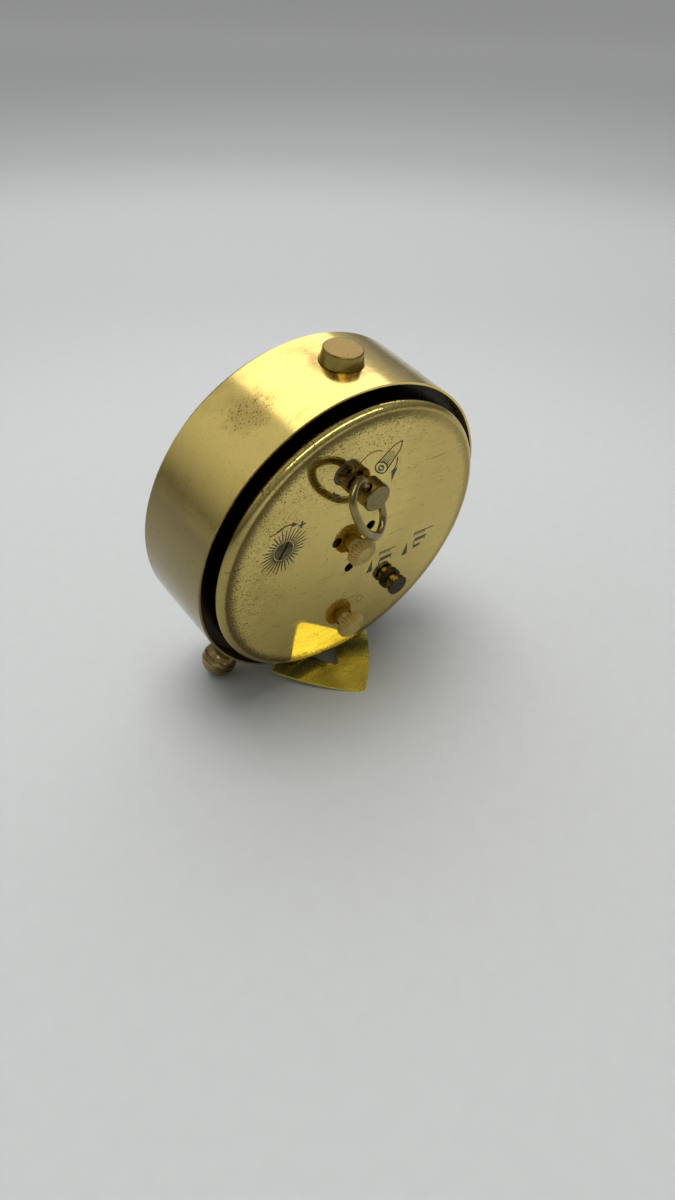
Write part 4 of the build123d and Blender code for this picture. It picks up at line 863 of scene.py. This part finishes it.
OWN_FINISHES = {
    "winding_key": CappedFinish(
        "key_head",
        (0.26, 0.175, 0.062),
        (0.13, 0.083, 0.03),
        cap=(0.25, 0.2, 0.08),
        cloud_size=3.0,
        pit_gap=0.5,
    ),
    "shut_off_knob": CappedFinish(
        "shut_off_brass",
        (0.19, 0.14, 0.055),
        (0.07, 0.045, 0.018),
        cap=(0.034, 0.025, 0.008),
        cap_level=6.25,
        cloud_size=2.5,
    ),
    "press_button": CappedFinish(
        "button_brass",
        (0.36, 0.26, 0.065),
        (0.22, 0.14, 0.035),
        roughness=0.11,
        cap=(0.28, 0.185, 0.045),
        cap_roughness=0.3,
        cap_axis="Y",
        cap_level=37.5,
        cloud_size=4.0,
        scratch_gap=0.7,
    ),
    "regulator_disc": MetalFinish(
        "rate_screw", (0.14, 0.115, 0.06), (0.07, 0.055, 0.03), roughness=0.3, cloud_size=2.0, scratch_gap=0.5
    ),
}
ENGRAVED_INK = MouldedFinish("engraved_ink", (0.065, 0.05, 0.02), (0.17, 0.13, 0.05), roughness=0.5)
DIAL_INK = MouldedFinish("dial_ink", (0.02, 0.018, 0.016), (0.05, 0.04, 0.03), roughness=0.45, relief=0.004)

NODE_SLOTS: dict[Slot, tuple[str, ...]] = {
    Slot.POLISHED_BRASS: ("case_drum", "front_bezel", "press_button"),
    Slot.COVER_BRASS: ("back_cover",),
    Slot.STRUT_BRASS: ("rear_strut",),
    Slot.DARK_BRASS: ("foot_left", "foot_right", "shut_off_knob"),
    Slot.KEY_METAL: ("winding_key", "key_ring", "regulator_disc"),
    Slot.CREAM_PLASTIC: ("hand_setting_knob", "alarm_setting_knob"),
    Slot.BLACKENED_STEEL: ("minute_hand", "hour_hand", "alarm_hand", "shut_off_bush", "movement_ring"),
    Slot.DIAL_PAINT: ("dial", "dial_spacer"),
    Slot.CRYSTAL: ("crystal",),
    Slot.SPRING_STEEL: ("hairspring", "time_mainspring", "alarm_mainspring", "button_spring"),
}


class Wardrobe:
    """Holds each finish's material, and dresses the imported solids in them."""

    def __init__(self) -> None:
        """Makes every material once."""
        self.materials = {slot: finish.build() for slot, finish in FINISHES.items()}
        self.own = {name: finish.build() for name, finish in OWN_FINISHES.items()}
        self.engraved_ink = ENGRAVED_INK.build()
        self.dial_ink = DIAL_INK.build()

    def slot_of(self, name: str) -> Slot:
        """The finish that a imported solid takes.

        Args:
            name: The solid's node name.

        Returns:
            Its slot: steel for arbors, staffs and screws, and plate brass for what is left.
        """
        for slot, names in NODE_SLOTS.items():
            if name in names:
                return slot
        steel = ("arbor", "staff", "screw", "pinion", "lever", "hammer", "clip", "nuts", "pillar")
        return Slot.STEEL if any(word in name for word in steel) else Slot.PLATE_BRASS

    def dress_solids(self, nodes: dict[str, bpy.types.Object]) -> None:
        """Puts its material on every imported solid.

        Args:
            nodes: The frame's solids by name.
        """
        for name, solid in nodes.items():
            slot = self.slot_of(name)
            solid.data.materials.clear()
            solid.data.materials.append(self.own.get(name, self.materials[slot]))
            log.info("solid %s wears %s", name, slot.value)


def settle(
    name: str, mesh: bmesh.types.BMesh, place: Matrix, material: bpy.types.Material, body: str, slot: Slot
) -> bpy.types.Object:
    """Makes a finished mesh an object at the origin that rides on its body.

    Args:
        name: The piece's name.
        mesh: The mesh, in the millimetres of its own drawing. It is freed.
        place: The move from those to the frame.
        material: What it wears.
        body: The body that carries it.
        slot: The record's slot for the piece. It is not used.

    Returns:
        The new piece.
    """
    bmesh.ops.remove_doubles(mesh, verts=mesh.verts, dist=1e-5)
    bmesh.ops.recalc_face_normals(mesh, faces=mesh.faces)
    mesh.transform(place)
    data = bpy.data.meshes.new(name)
    mesh.to_mesh(data)
    mesh.free()
    data.materials.append(material)
    piece = bpy.data.objects.new(name, data)
    bpy.context.scene.collection.objects.link(piece)
    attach(piece, body)
    log.info("piece %s has %d faces", name, len(data.polygons))
    return piece


def clockwise(turn: float) -> Vector:
    """Finds where a hand on the dial points.

    Args:
        turn: Its turn from the top, in degrees.

    Returns:
        The direction, right and up.
    """
    return Vector((math.sin(math.radians(turn)), math.cos(math.radians(turn))))


def shifted(place: Point, corners: Sequence[Point]) -> list[Point]:
    """Moves corners to a place.

    Args:
        place: Where their origin comes to stand.
        corners: The corners, measured from it.

    Returns:
        The moved corners.
    """
    return [(place[0] + across, place[1] + up) for across, up in corners]


class FlatDrawing:
    """A drawing of thin raised marks in one plane, in millimetres."""

    def __init__(self, level: float, thickness: float = 0.02) -> None:
        """Starts an empty drawing.

        Args:
            level: The height of the plane that it lies on.
            thickness: How proud the marks stand.
        """
        self.mesh = bmesh.new()
        self.level = level
        self.thickness = thickness

    def outline(self, corners: Sequence[Point]) -> None:
        """Fills a shape.

        Args:
            corners: Its corners in order.
        """
        made = [self.mesh.verts.new((x, y, self.level)) for x, y in corners]
        self.mesh.faces.new(made)

    def line(self, start: Point, end: Point, width: float, end_width: float | None = None) -> None:
        """Draws a straight line that may taper.

        Args:
            start: Where it starts.
            end: Where it ends.
            width: Its width at the start.
            end_width: Its width at the end, or the same where it is left out.
        """
        start, end = Vector(start), Vector(end)
        along = end - start
        if along.length < 1e-6:
            return
        side = along.orthogonal().normalized() * 0.5
        last = width if end_width is None else end_width
        self.outline([start + side * width, start - side * width, end - side * last, end + side * last])

    def path(self, points: Sequence[Point], width: float) -> None:
        """Draws a line through several points.

        Args:
            points: The points in order.
            width: The line's width.
        """
        for start, end in zip(points, points[1:]):
            self.line(start, end, width)

    def arc(
        self, centre: Point, radii: Point, first: float, last: float, width: float, tilt: float = 0.0
    ) -> None:
        """Draws part of an ellipse.

        Args:
            centre: Its middle.
            radii: Its half widths across and up, before the tilt.
            first: Where it starts, in degrees from the right.
            last: Where it ends.
            width: The line's width.
            tilt: How far the ellipse is turned.
        """
        count = max(6, round(abs(last - first) * max(5.0, *radii) / 60.0))
        turn = Matrix.Rotation(math.radians(tilt), 2)
        points = []
        for step in range(count + 1):
            angle = math.radians(first + (last - first) * step / count)
            offset = turn @ Vector((radii[0] * math.cos(angle), radii[1] * math.sin(angle)))
            points.append(Vector(centre) + offset)
        self.path(points, width)

    def circle(self, centre: Point, radius: float, width: float) -> None:
        """Draws a whole circle.

        Args:
            centre: Its middle.
            radius: Its radius.
            width: The line's width.
        """
        self.arc(centre, (radius, radius), 0.0, 360.0, width)

    def ticks(self, centre: Point, turns: Iterable[float], reach: tuple[float, float], width: float) -> None:
        """Draws short lines that point away from a middle.

        Args:
            centre: The middle.
            turns: Where each line is, in degrees clockwise from the top.
            reach: How far from the middle they start and end.
            width: Their width.
        """
        for turn in turns:
            way = clockwise(turn)
            self.line(Vector(centre) + way * reach[0], Vector(centre) + way * reach[1], width)

    def finished(self) -> bmesh.types.BMesh:
        """Gives the marks their thickness.

        Returns:
            The mesh.
        """
        faces = list(self.mesh.faces)
        for face in faces:
            if face.normal.z < 0.0:
                face.normal_flip()
        raised = bmesh.ops.extrude_face_region(self.mesh, geom=faces, use_keep_orig=True)
        lifted = [item for item in raised["geom"] if isinstance(item, bmesh.types.BMVert)]
        bmesh.ops.translate(self.mesh, verts=lifted, vec=(0.0, 0.0, self.thickness))
        return self.mesh


@dataclass
class SettingKnob:
    """A moulded setting knob: its ribs run up the side and over the sloping shoulder to a small dish."""

    name: str
    node: str
    body: str
    centre: Point
    ribs: int = 24
    steps_per_rib: int = 8
    rib_depth: float = 0.5
    bore: float = 0.82
    bore_end: float = 6.68
    hub_start: float = 1.0
    hub_radius: float = 1.75
    front: float = 5.0
    rear: float = 7.1
    radius: float = 3.35

    def build(self, wardrobe: Wardrobe) -> None:
        """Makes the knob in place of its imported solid.

        Args:
            wardrobe: Where its material comes from.
        """
        mesh = bmesh.new()
        loops = [self.ring(mesh, *ring) for ring in self.rings()]
        for first, second in zip(loops, loops[1:]):
            bmesh.ops.bridge_loops(mesh, edges=first + second)
        for loop in (loops[0], loops[-1]):
            bmesh.ops.contextual_create(mesh, geom=loop)
        for face in mesh.faces:
            face.smooth = True
        place = case_matrix() @ Matrix.Translation((*self.centre, 0.0))
        material = wardrobe.materials[Slot.CREAM_PLASTIC]
        piece = settle(self.name, mesh, place, material, self.body, Slot.CREAM_PLASTIC)
        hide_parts(self.node)

    def rings(self) -> list[tuple[float, float, float, float]]:
        """Lists the rings from the bore's end, round the outside, to the middle of the dish.

        Returns:
            Each ring's radius and level, and the shares of the ribs' depth inwards and downwards.
        """
        rear, edge = self.rear, self.radius
        return [
            (self.bore, self.bore_end, 0.0, 0.0),
            (self.bore, self.hub_start, 0.0, 0.0),
            (self.hub_radius, self.hub_start, 0.0, 0.0),
            (self.hub_radius, self.front, 0.0, 0.0),
            (edge - 0.35, self.front, 0.2, 0.0),
            (edge - 0.04, self.front + 0.12, 1.0, 0.0),
            (edge, self.front + 0.5, 1.0, 0.0),
            (edge, rear - 0.95, 1.0, 0.0),
            (edge - 0.08, rear - 0.78, 1.0, 0.3),
            (edge - 0.5, rear - 0.48, 0.5, 0.8),
            (edge - 1.0, rear - 0.2, 0.0, 0.9),
            (edge - 1.35, rear - 0.04, 0.0, 0.5),
            (edge - 1.5, rear, 0.0, 0.0),
            (edge - 1.62, rear - 0.04, 0.0, 0.0),
            (edge - 1.8, rear - 0.28, 0.0, 0.0),
            (edge - 2.3, rear - 0.36, 0.0, 0.0),
        ]

    def ring(
        self, mesh: bmesh.types.BMesh, radius: float, level: float, inwards: float, downwards: float
    ) -> list[bmesh.types.BMEdge]:
        """Adds one ring, drawn in and down between the ribs.

        Args:
            mesh: The knob's mesh.
            radius: The ring's radius on the ribs.
            level: Its level on the ribs.
            inwards: The share of the ribs' depth that it goes in between them.
            downwards: The share that it goes down.

        Returns:
            The ring's edges.
        """
        count = self.ribs * self.steps_per_rib
        made = bmesh.ops.create_circle(mesh, segments=count, radius=radius)["verts"]
        for corner in made:
            turn = math.atan2(corner.co.y, corner.co.x)
            groove = self.rib_depth * (0.5 - 0.5 * math.cos(self.ribs * turn)) ** 1.5
            reach = (radius - inwards * groove) / radius
            corner.co = (corner.co.x * reach, corner.co.y * reach, level - downwards * groove)
        return list({edge for corner in made for edge in corner.link_edges})


@dataclass
class CoverMarks:
    """The plain pictures etched in the back cover: what each knob does and which way it turns."""

    sun_centre: Point = (-18.7, 6.3)
    sun_start: float = 2.35
    sun_rays: int = 32
    line_width: float = 0.34

    def build(self, wardrobe: Wardrobe) -> None:
        """Makes the marks as one piece.

        Args:
            wardrobe: Where their material comes from.
        """
        drawing = FlatDrawing(COVER_FACE - PRINT_SINK)
        self.sunburst(drawing)
        self.rate_signs(drawing)
        self.bell(drawing)
        self.clock_face(drawing)
        self.alarm_switch_signs(drawing)
        self.turning_arc(drawing)
        ink = wardrobe.engraved_ink
        settle("cover_marks", drawing.finished(), case_matrix(), ink, "case", Slot.COVER_BRASS)

    def sunburst(self, drawing: FlatDrawing) -> None:
        """Draws the rays round the rate screw, long and short by turns, thin above and thick below."""
        for ray in range(self.sun_rays):
            turn = 2.0 * math.pi * ray / self.sun_rays
            upper = 0.5 + 0.5 * math.cos(turn - math.radians(60.0))
            length = 1.5 + 1.4 * abs(2.0 * upper - 1.0) + (0.6 if ray % 2 else 0.0)
            way = Vector((math.cos(turn), math.sin(turn)))
            start = Vector(self.sun_centre) + way * self.sun_start
            end = start + way * length
            drawing.line(start, end, 0.34 + 0.14 * (1.0 - upper), 0.17)

    def rate_signs(self, drawing: FlatDrawing) -> None:
        """Draws the plus, the feathered arrow and the minus over the rate screw."""
        plus, minus = (-15.2, 11.4), (-21.8, 11.4)
        drawing.line((plus[0] - 0.9, plus[1]), (plus[0] + 0.9, plus[1]), 0.4)
        drawing.line((plus[0], plus[1] - 0.9), (plus[0], plus[1] + 0.9), 0.4)
        drawing.line((minus[0] - 0.8, minus[1] - 0.1), (minus[0] + 0.8, minus[1] + 0.1), 0.25)
        tail, head = (-20.8, 12.0), (-16.6, 12.5)
        drawing.arc((-18.7, 10.2), (2.6, 2.3), 140.0, 45.0, self.line_width)
        drawing.outline(shifted(head, ((0.5, -0.6), (-1.1, 0.5), (-0.9, -0.7))))
        for feather in range(4):
            foot = (tail[0] + 0.35 * feather, tail[1] + 0.12 * feather)
            drawing.line(foot, (foot[0] - 0.3, foot[1] - 0.6), 0.2)

    def bell(self, drawing: FlatDrawing) -> None:
        """Draws the small bell, tipped on its side, with its clapper and arrow."""
        base, top = Vector((2.7, 18.6)), Vector((5.9, 22.5))
        way = (top - base).normalized()
        side = Vector((-way.y, way.x))
        for hand in (1.0, -1.0):
            edge = [base + side * 2.0 * hand, base + way * 1.5 + side * 1.75 * hand, top + side * 1.2 * hand]
            drawing.path(edge, self.line_width)
        for hatch in range(7):
            share = hatch / 6.0 - 0.5
            low = base + side * 3.3 * share + way * 1.1
            high = top + side * 2.1 * share
            drawing.line(low, low.lerp(high, 0.75 - 0.3 * abs(share)), 0.22, 0.1)
        tilt = math.degrees(math.atan2(side.y, side.x))
        drawing.arc(base, (2.0, 1.1), 0.0, 360.0, self.line_width, tilt)
        drawing.arc(base - way * 0.1, (0.8, 0.45), 0.0, 360.0, 0.4, tilt)
        drawing.path([top + side * 1.2, top + way * 1.5, top - side * 1.2], 0.3)
        drawing.arc((0.0, 19.4), (3.8, 3.8), 152.0, 58.0, 0.22)
        drawing.arc((4.4, 18.6), (2.3, 3.0), 25.0, -40.0, self.line_width)
        drawing.outline([(7.2, 17.3), (5.7, 16.9), (6.4, 14.0)])

    def clock_face(self, drawing: FlatDrawing) -> None:
        """Draws the small clock face behind the key, and its arrow."""
        centre = (-6.6, 20.3)
        for radius, width in ((2.4, 0.4), (1.8, 0.18)):
            drawing.circle(centre, radius, width)
        drawing.ticks(centre, range(0, 360, 30), (1.35, 1.75), 0.14)
        for tip in shifted(centre, ((-1.1, 0.7), (0.5, 1.0))):
            drawing.line(centre, tip, 0.25)
        drawing.arc((-5.4, 17.4), (3.4, 2.4), 195.0, 245.0, self.line_width)
        drawing.outline([(-8.4, 15.9), (-7.4, 15.9), (-7.9, 14.4)])

    def alarm_switch_signs(self, drawing: FlatDrawing) -> None:
        """Draws the two signs beside the alarm's shut-off knob, with their pointers."""
        for left, right, line_level in ((8.0, 12.6, -5.6), (17.7, 23.4, -4.0)):
            drawing.line((left, line_level), (right, line_level), 0.42, 0.2)
            for tick in range(5):
                foot = (left + 0.3 + 0.7 * tick, line_level - 0.2)
                drawing.line(foot, (foot[0] - 0.3, foot[1] - 0.6), 0.26)
            low, high = line_level - 4.6, line_level - 1.6
            start, end = left + 0.4, left + 3.7
            drawing.outline(shifted((start, high), ((0.0, -1.1), (3.3, -0.9), (3.6, 0.0), (0.3, -0.1))))
            drawing.outline(shifted((start, low), ((0.4, 0.0), (2.1, 0.2), (2.3, 1.0), (0.1, 0.8))))
            drawing.line((start + 0.15, low + 0.8), (start + 0.15, high - 1.0), 0.3)
            drawing.line((end + 0.05, low + 1.5), (end + 0.15, high - 0.9), 0.18)
        for across, up in ((16.0, -7.9), (6.1, -8.8)):
            drawing.outline(shifted((across, up), ((-0.8, -1.7), (0.8, -1.5), (0.1, 2.0))))

    def turning_arc(self, drawing: FlatDrawing) -> None:
        """Draws the faint arc round the lower knob, and the small ring at its end."""
        drawing.circle((4.9, -17.6), 0.8, 0.1)
        drawing.arc((1.6, -22.15), (6.2, 6.2), 35.0, 120.0, 0.09)


@dataclass
class DialPrint:
    """The print on the dial: minute track, hour numerals and the ring of marks for the alarm hand."""

    track_radius: float = 28.6
    numeral_radius: float = 23.2
    numeral_size: float = 5.6
    ring_radius: float = 12.8
    ring_numeral_radius: float = 14.5
    ring_numeral_size: float = 1.9

    def build(self, wardrobe: Wardrobe) -> None:
        """Makes the print's pieces.

        Args:
            wardrobe: Where their material comes from.
        """
        drawing = FlatDrawing(-DIAL_FACE - PRINT_SINK)
        self.minute_track(drawing)
        self.alarm_ring(drawing)
        place = case_matrix() @ facing_dial()
        settle("dial_tracks", drawing.finished(), place, wardrobe.dial_ink, "case", Slot.DIAL_PAINT)
        numerals = bmesh.new()
        for hour in range(1, 13):
            self.numeral(numerals, hour, self.numeral_radius, self.numeral_size)
            self.numeral(numerals, hour, self.ring_numeral_radius, self.ring_numeral_size)
        settle("dial_numerals", numerals, place, wardrobe.dial_ink, "case", Slot.DIAL_PAINT)

    def minute_track(self, drawing: FlatDrawing) -> None:
        """Draws a thin circle, a tick outside it for each minute and a thick one across it for each hour."""
        radius, middle = self.track_radius, (0.0, 0.0)
        drawing.circle(middle, radius, 0.14)
        drawing.ticks(middle, (turn for turn in range(0, 360, 6) if turn % 30), (radius, radius + 1.0), 0.18)
        drawing.ticks(middle, range(0, 360, 30), (radius - 1.0, radius + 1.0), 0.5)

    def alarm_ring(self, drawing: FlatDrawing) -> None:
        """Draws the ring that the alarm hand points at, with a mark for each quarter of an hour."""
        radius, middle = self.ring_radius, (0.0, 0.0)
        drawing.circle(middle, radius, 0.12)
        quarters = (7.5 * quarter for quarter in range(48) if quarter % 4)
        for turns, depth in ((quarters, 0.45), (range(0, 360, 30), 0.9)):
            drawing.ticks(middle, turns, (radius - depth, radius), 0.14)

    def numeral(self, mesh: bmesh.types.BMesh, hour: int, radius: float, size: float) -> None:
        """Adds one upright numeral.

        Args:
            mesh: The mesh that it is added to.
            hour: The number, which is also its place round the dial.
            radius: How far its middle stands from the dial's.
            size: The height of the letters' body.
        """
        spot = (*(clockwise(30.0 * hour) * radius), -DIAL_FACE + PRINT_SINK)
        curve = bpy.data.curves.new("numeral", "FONT")
        curve.body = str(hour)
        curve.size = size
        curve.extrude = 0.01
        curve.align_x = "CENTER"
        curve.align_y = "CENTER"
        carrier = bpy.data.objects.new("numeral", curve)
        data = bpy.data.meshes.new_from_object(carrier)
        data.transform(Matrix.Translation(spot))
        mesh.from_mesh(data)
        bpy.data.objects.remove(carrier)
        bpy.data.curves.remove(curve)
        bpy.data.meshes.remove(data)


@dataclass(frozen=True)
class Lamp:
    """One soft lamp: where it hangs, its size in metres, how bright its face is and how it is used."""

    name: str
    place: tuple[float, float, float]
    size: Point
    radiance: float
    mirrored: bool
    aimed: bool
    lights: bool = True


LAMPS = (
    Lamp("softbox", (-0.335, -0.44, 0.56), (0.92, 0.52), 1.27, mirrored=True, aimed=False),
    Lamp("window", (-0.05, 0.6, 0.9), (1.5, 0.3), 2.5, mirrored=True, aimed=True, lights=False),
    Lamp("overhead", (0.1, -0.05, 1.2), (0.7, 0.7), 5.6, mirrored=False, aimed=True),
)


# The floor's colour under the clock, and the bands about it: where each fades in, from and to how many
# metres from the clock, and its colour.
# The bands are painted light and shade: pale near the clock, darker further out, and brighter again far away.
FLOOR_NEAR = (0.565, 0.575, 0.57)
FLOOR_LIGHT_BANDS = (
    (0.12, 0.3, (0.49, 0.5, 0.5)),
    (0.42, 0.7, (0.385, 0.39, 0.395)),
    (0.8, 2.0, (0.66, 0.67, 0.67)),
)


@dataclass
class Studio:
    """The pale floor with its painted light and shade, the soft lamps and the camera of the photograph."""

    camera_place: tuple[float, float, float] = (0.102481, 0.127871, 0.133433)
    camera_turn: tuple[float, float, float] = (54.41365, -1.70308, 141.26838)
    lens: float = 26.979
    floor_half: float = 6.0
    room_dark: float = 0.16
    room_bright: float = 0.58

    def build(self) -> None:
        """Makes the floor, the room, the lamps and the camera."""
        self.floor()
        self.room()
        for lamp in LAMPS:
            self.hang(lamp)
        self.camera()

    def floor(self) -> None:
        """Makes the table top as a backdrop, in bands of grey round the clock that paint light and shade on
        it.
        """
        mesh = bmesh.new()
        bmesh.ops.create_grid(mesh, x_segments=8, y_segments=8, size=self.floor_half)
        data = bpy.data.meshes.new("floor")
        mesh.to_mesh(data)
        mesh.free()
        material, bench = new_material("floor_paper")
        point = bench.node("ShaderNodeTexCoord").outputs["Object"]
        reach = bench.length(point)
        colour: Feed = FLOOR_NEAR
        # Painted light and shade: each band lightens or darkens the floor with distance from the clock.
        for start, end, farther in FLOOR_LIGHT_BANDS:
            colour = bench.mixed(bench.eased(reach, start, end), colour, farther)
        grain = bench.noise(point, 260.0, 5.0)
        colour = bench.mixed(bench.eased(grain, 0.3, 0.8, 0.0, 0.06), colour, (0.3, 0.3, 0.3))
        plain = {"Roughness": 0.55, "Specular IOR Level": 0.25}
        bench.shaded(plain, base_color=colour, normal=bench.bumped(grain, 0.05))
        data.materials.append(material)
        floor = bpy.data.objects.new("floor", data)
        bpy.context.scene.collection.objects.link(floor)

    def room(self) -> None:
        """Makes the room: dim along the horizon and behind the camera, and brighter overhead."""
        world = bpy.data.worlds.new("room")
        bpy.context.scene.world = world
        world.use_nodes = True
        bench = Bench(world.node_tree)
        axes = bench.axes(bench.node("ShaderNodeTexCoord").outputs["Generated"])
        height = bench.eased(axes["Z"], -0.05, 0.65)
        ahead = bench.eased(axes["Y"], -0.35, 0.1, 1.0, 0.3)
        glow = bench.times(height, ahead)
        dark = (self.room_dark, self.room_dark, self.room_dark * 0.98)
        bright = (self.room_bright, self.room_bright * 1.01, self.room_bright)
        background = bench.node("ShaderNodeBackground")
        bench.feed(background.inputs["Color"], bench.mixed(glow, dark, bright))
        bench.feed(bench.node("ShaderNodeOutputWorld").inputs["Surface"], background.outputs[0])

    def hang(self, lamp: Lamp) -> None:
        """Hangs one lamp.

        Args:
            lamp: What it is like and where it hangs.
        """
        data = bpy.data.lights.new(lamp.name, "AREA")
        data.shape = "RECTANGLE"
        data.size, data.size_y = lamp.size
        data.energy = lamp.radiance * math.pi * lamp.size[0] * lamp.size[1]
        carrier = bpy.data.objects.new(lamp.name, data)
        carrier.location = lamp.place
        if lamp.aimed:
            aim = Vector((0.0, 0.0, 0.03)) - Vector(lamp.place)
            carrier.rotation_euler = aim.to_track_quat("-Z", "Y").to_euler()
        carrier.visible_glossy = lamp.mirrored
        carrier.visible_diffuse = lamp.lights
        carrier.visible_camera = False
        bpy.context.scene.collection.objects.link(carrier)

    def camera(self) -> None:
        """Puts the camera where the photograph was taken from."""
        data = bpy.data.cameras.new("camera")
        data.lens = self.lens
        data.sensor_width = 36.0
        data.clip_start = 0.01
        camera = bpy.data.objects.new("camera", data)
        camera.location = self.camera_place
        camera.rotation_euler = Euler([math.radians(angle) for angle in self.camera_turn])
        bpy.context.scene.collection.objects.link(camera)
        bpy.context.scene.camera = camera


def main() -> None:
    """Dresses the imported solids, adds the marks and the print, and lights the table."""
    logging.basicConfig(level=logging.INFO, format="%(message)s")
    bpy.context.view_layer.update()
    bpy.context.scene.view_settings.view_transform = "Standard"
    wardrobe = Wardrobe()
    wardrobe.dress_solids(frame["nodes"])
    SettingKnob("hand_knob", "hand_setting_knob", "hand_setting", (0.0, 0.0)).build(wardrobe)
    SettingKnob("alarm_knob", "alarm_setting_knob", "alarm_setting", (1.6, -22.15)).build(wardrobe)
    CoverMarks().build(wardrobe)
    DialPrint().build(wardrobe)
    Studio().build()


if __name__ == "__main__":
    main()
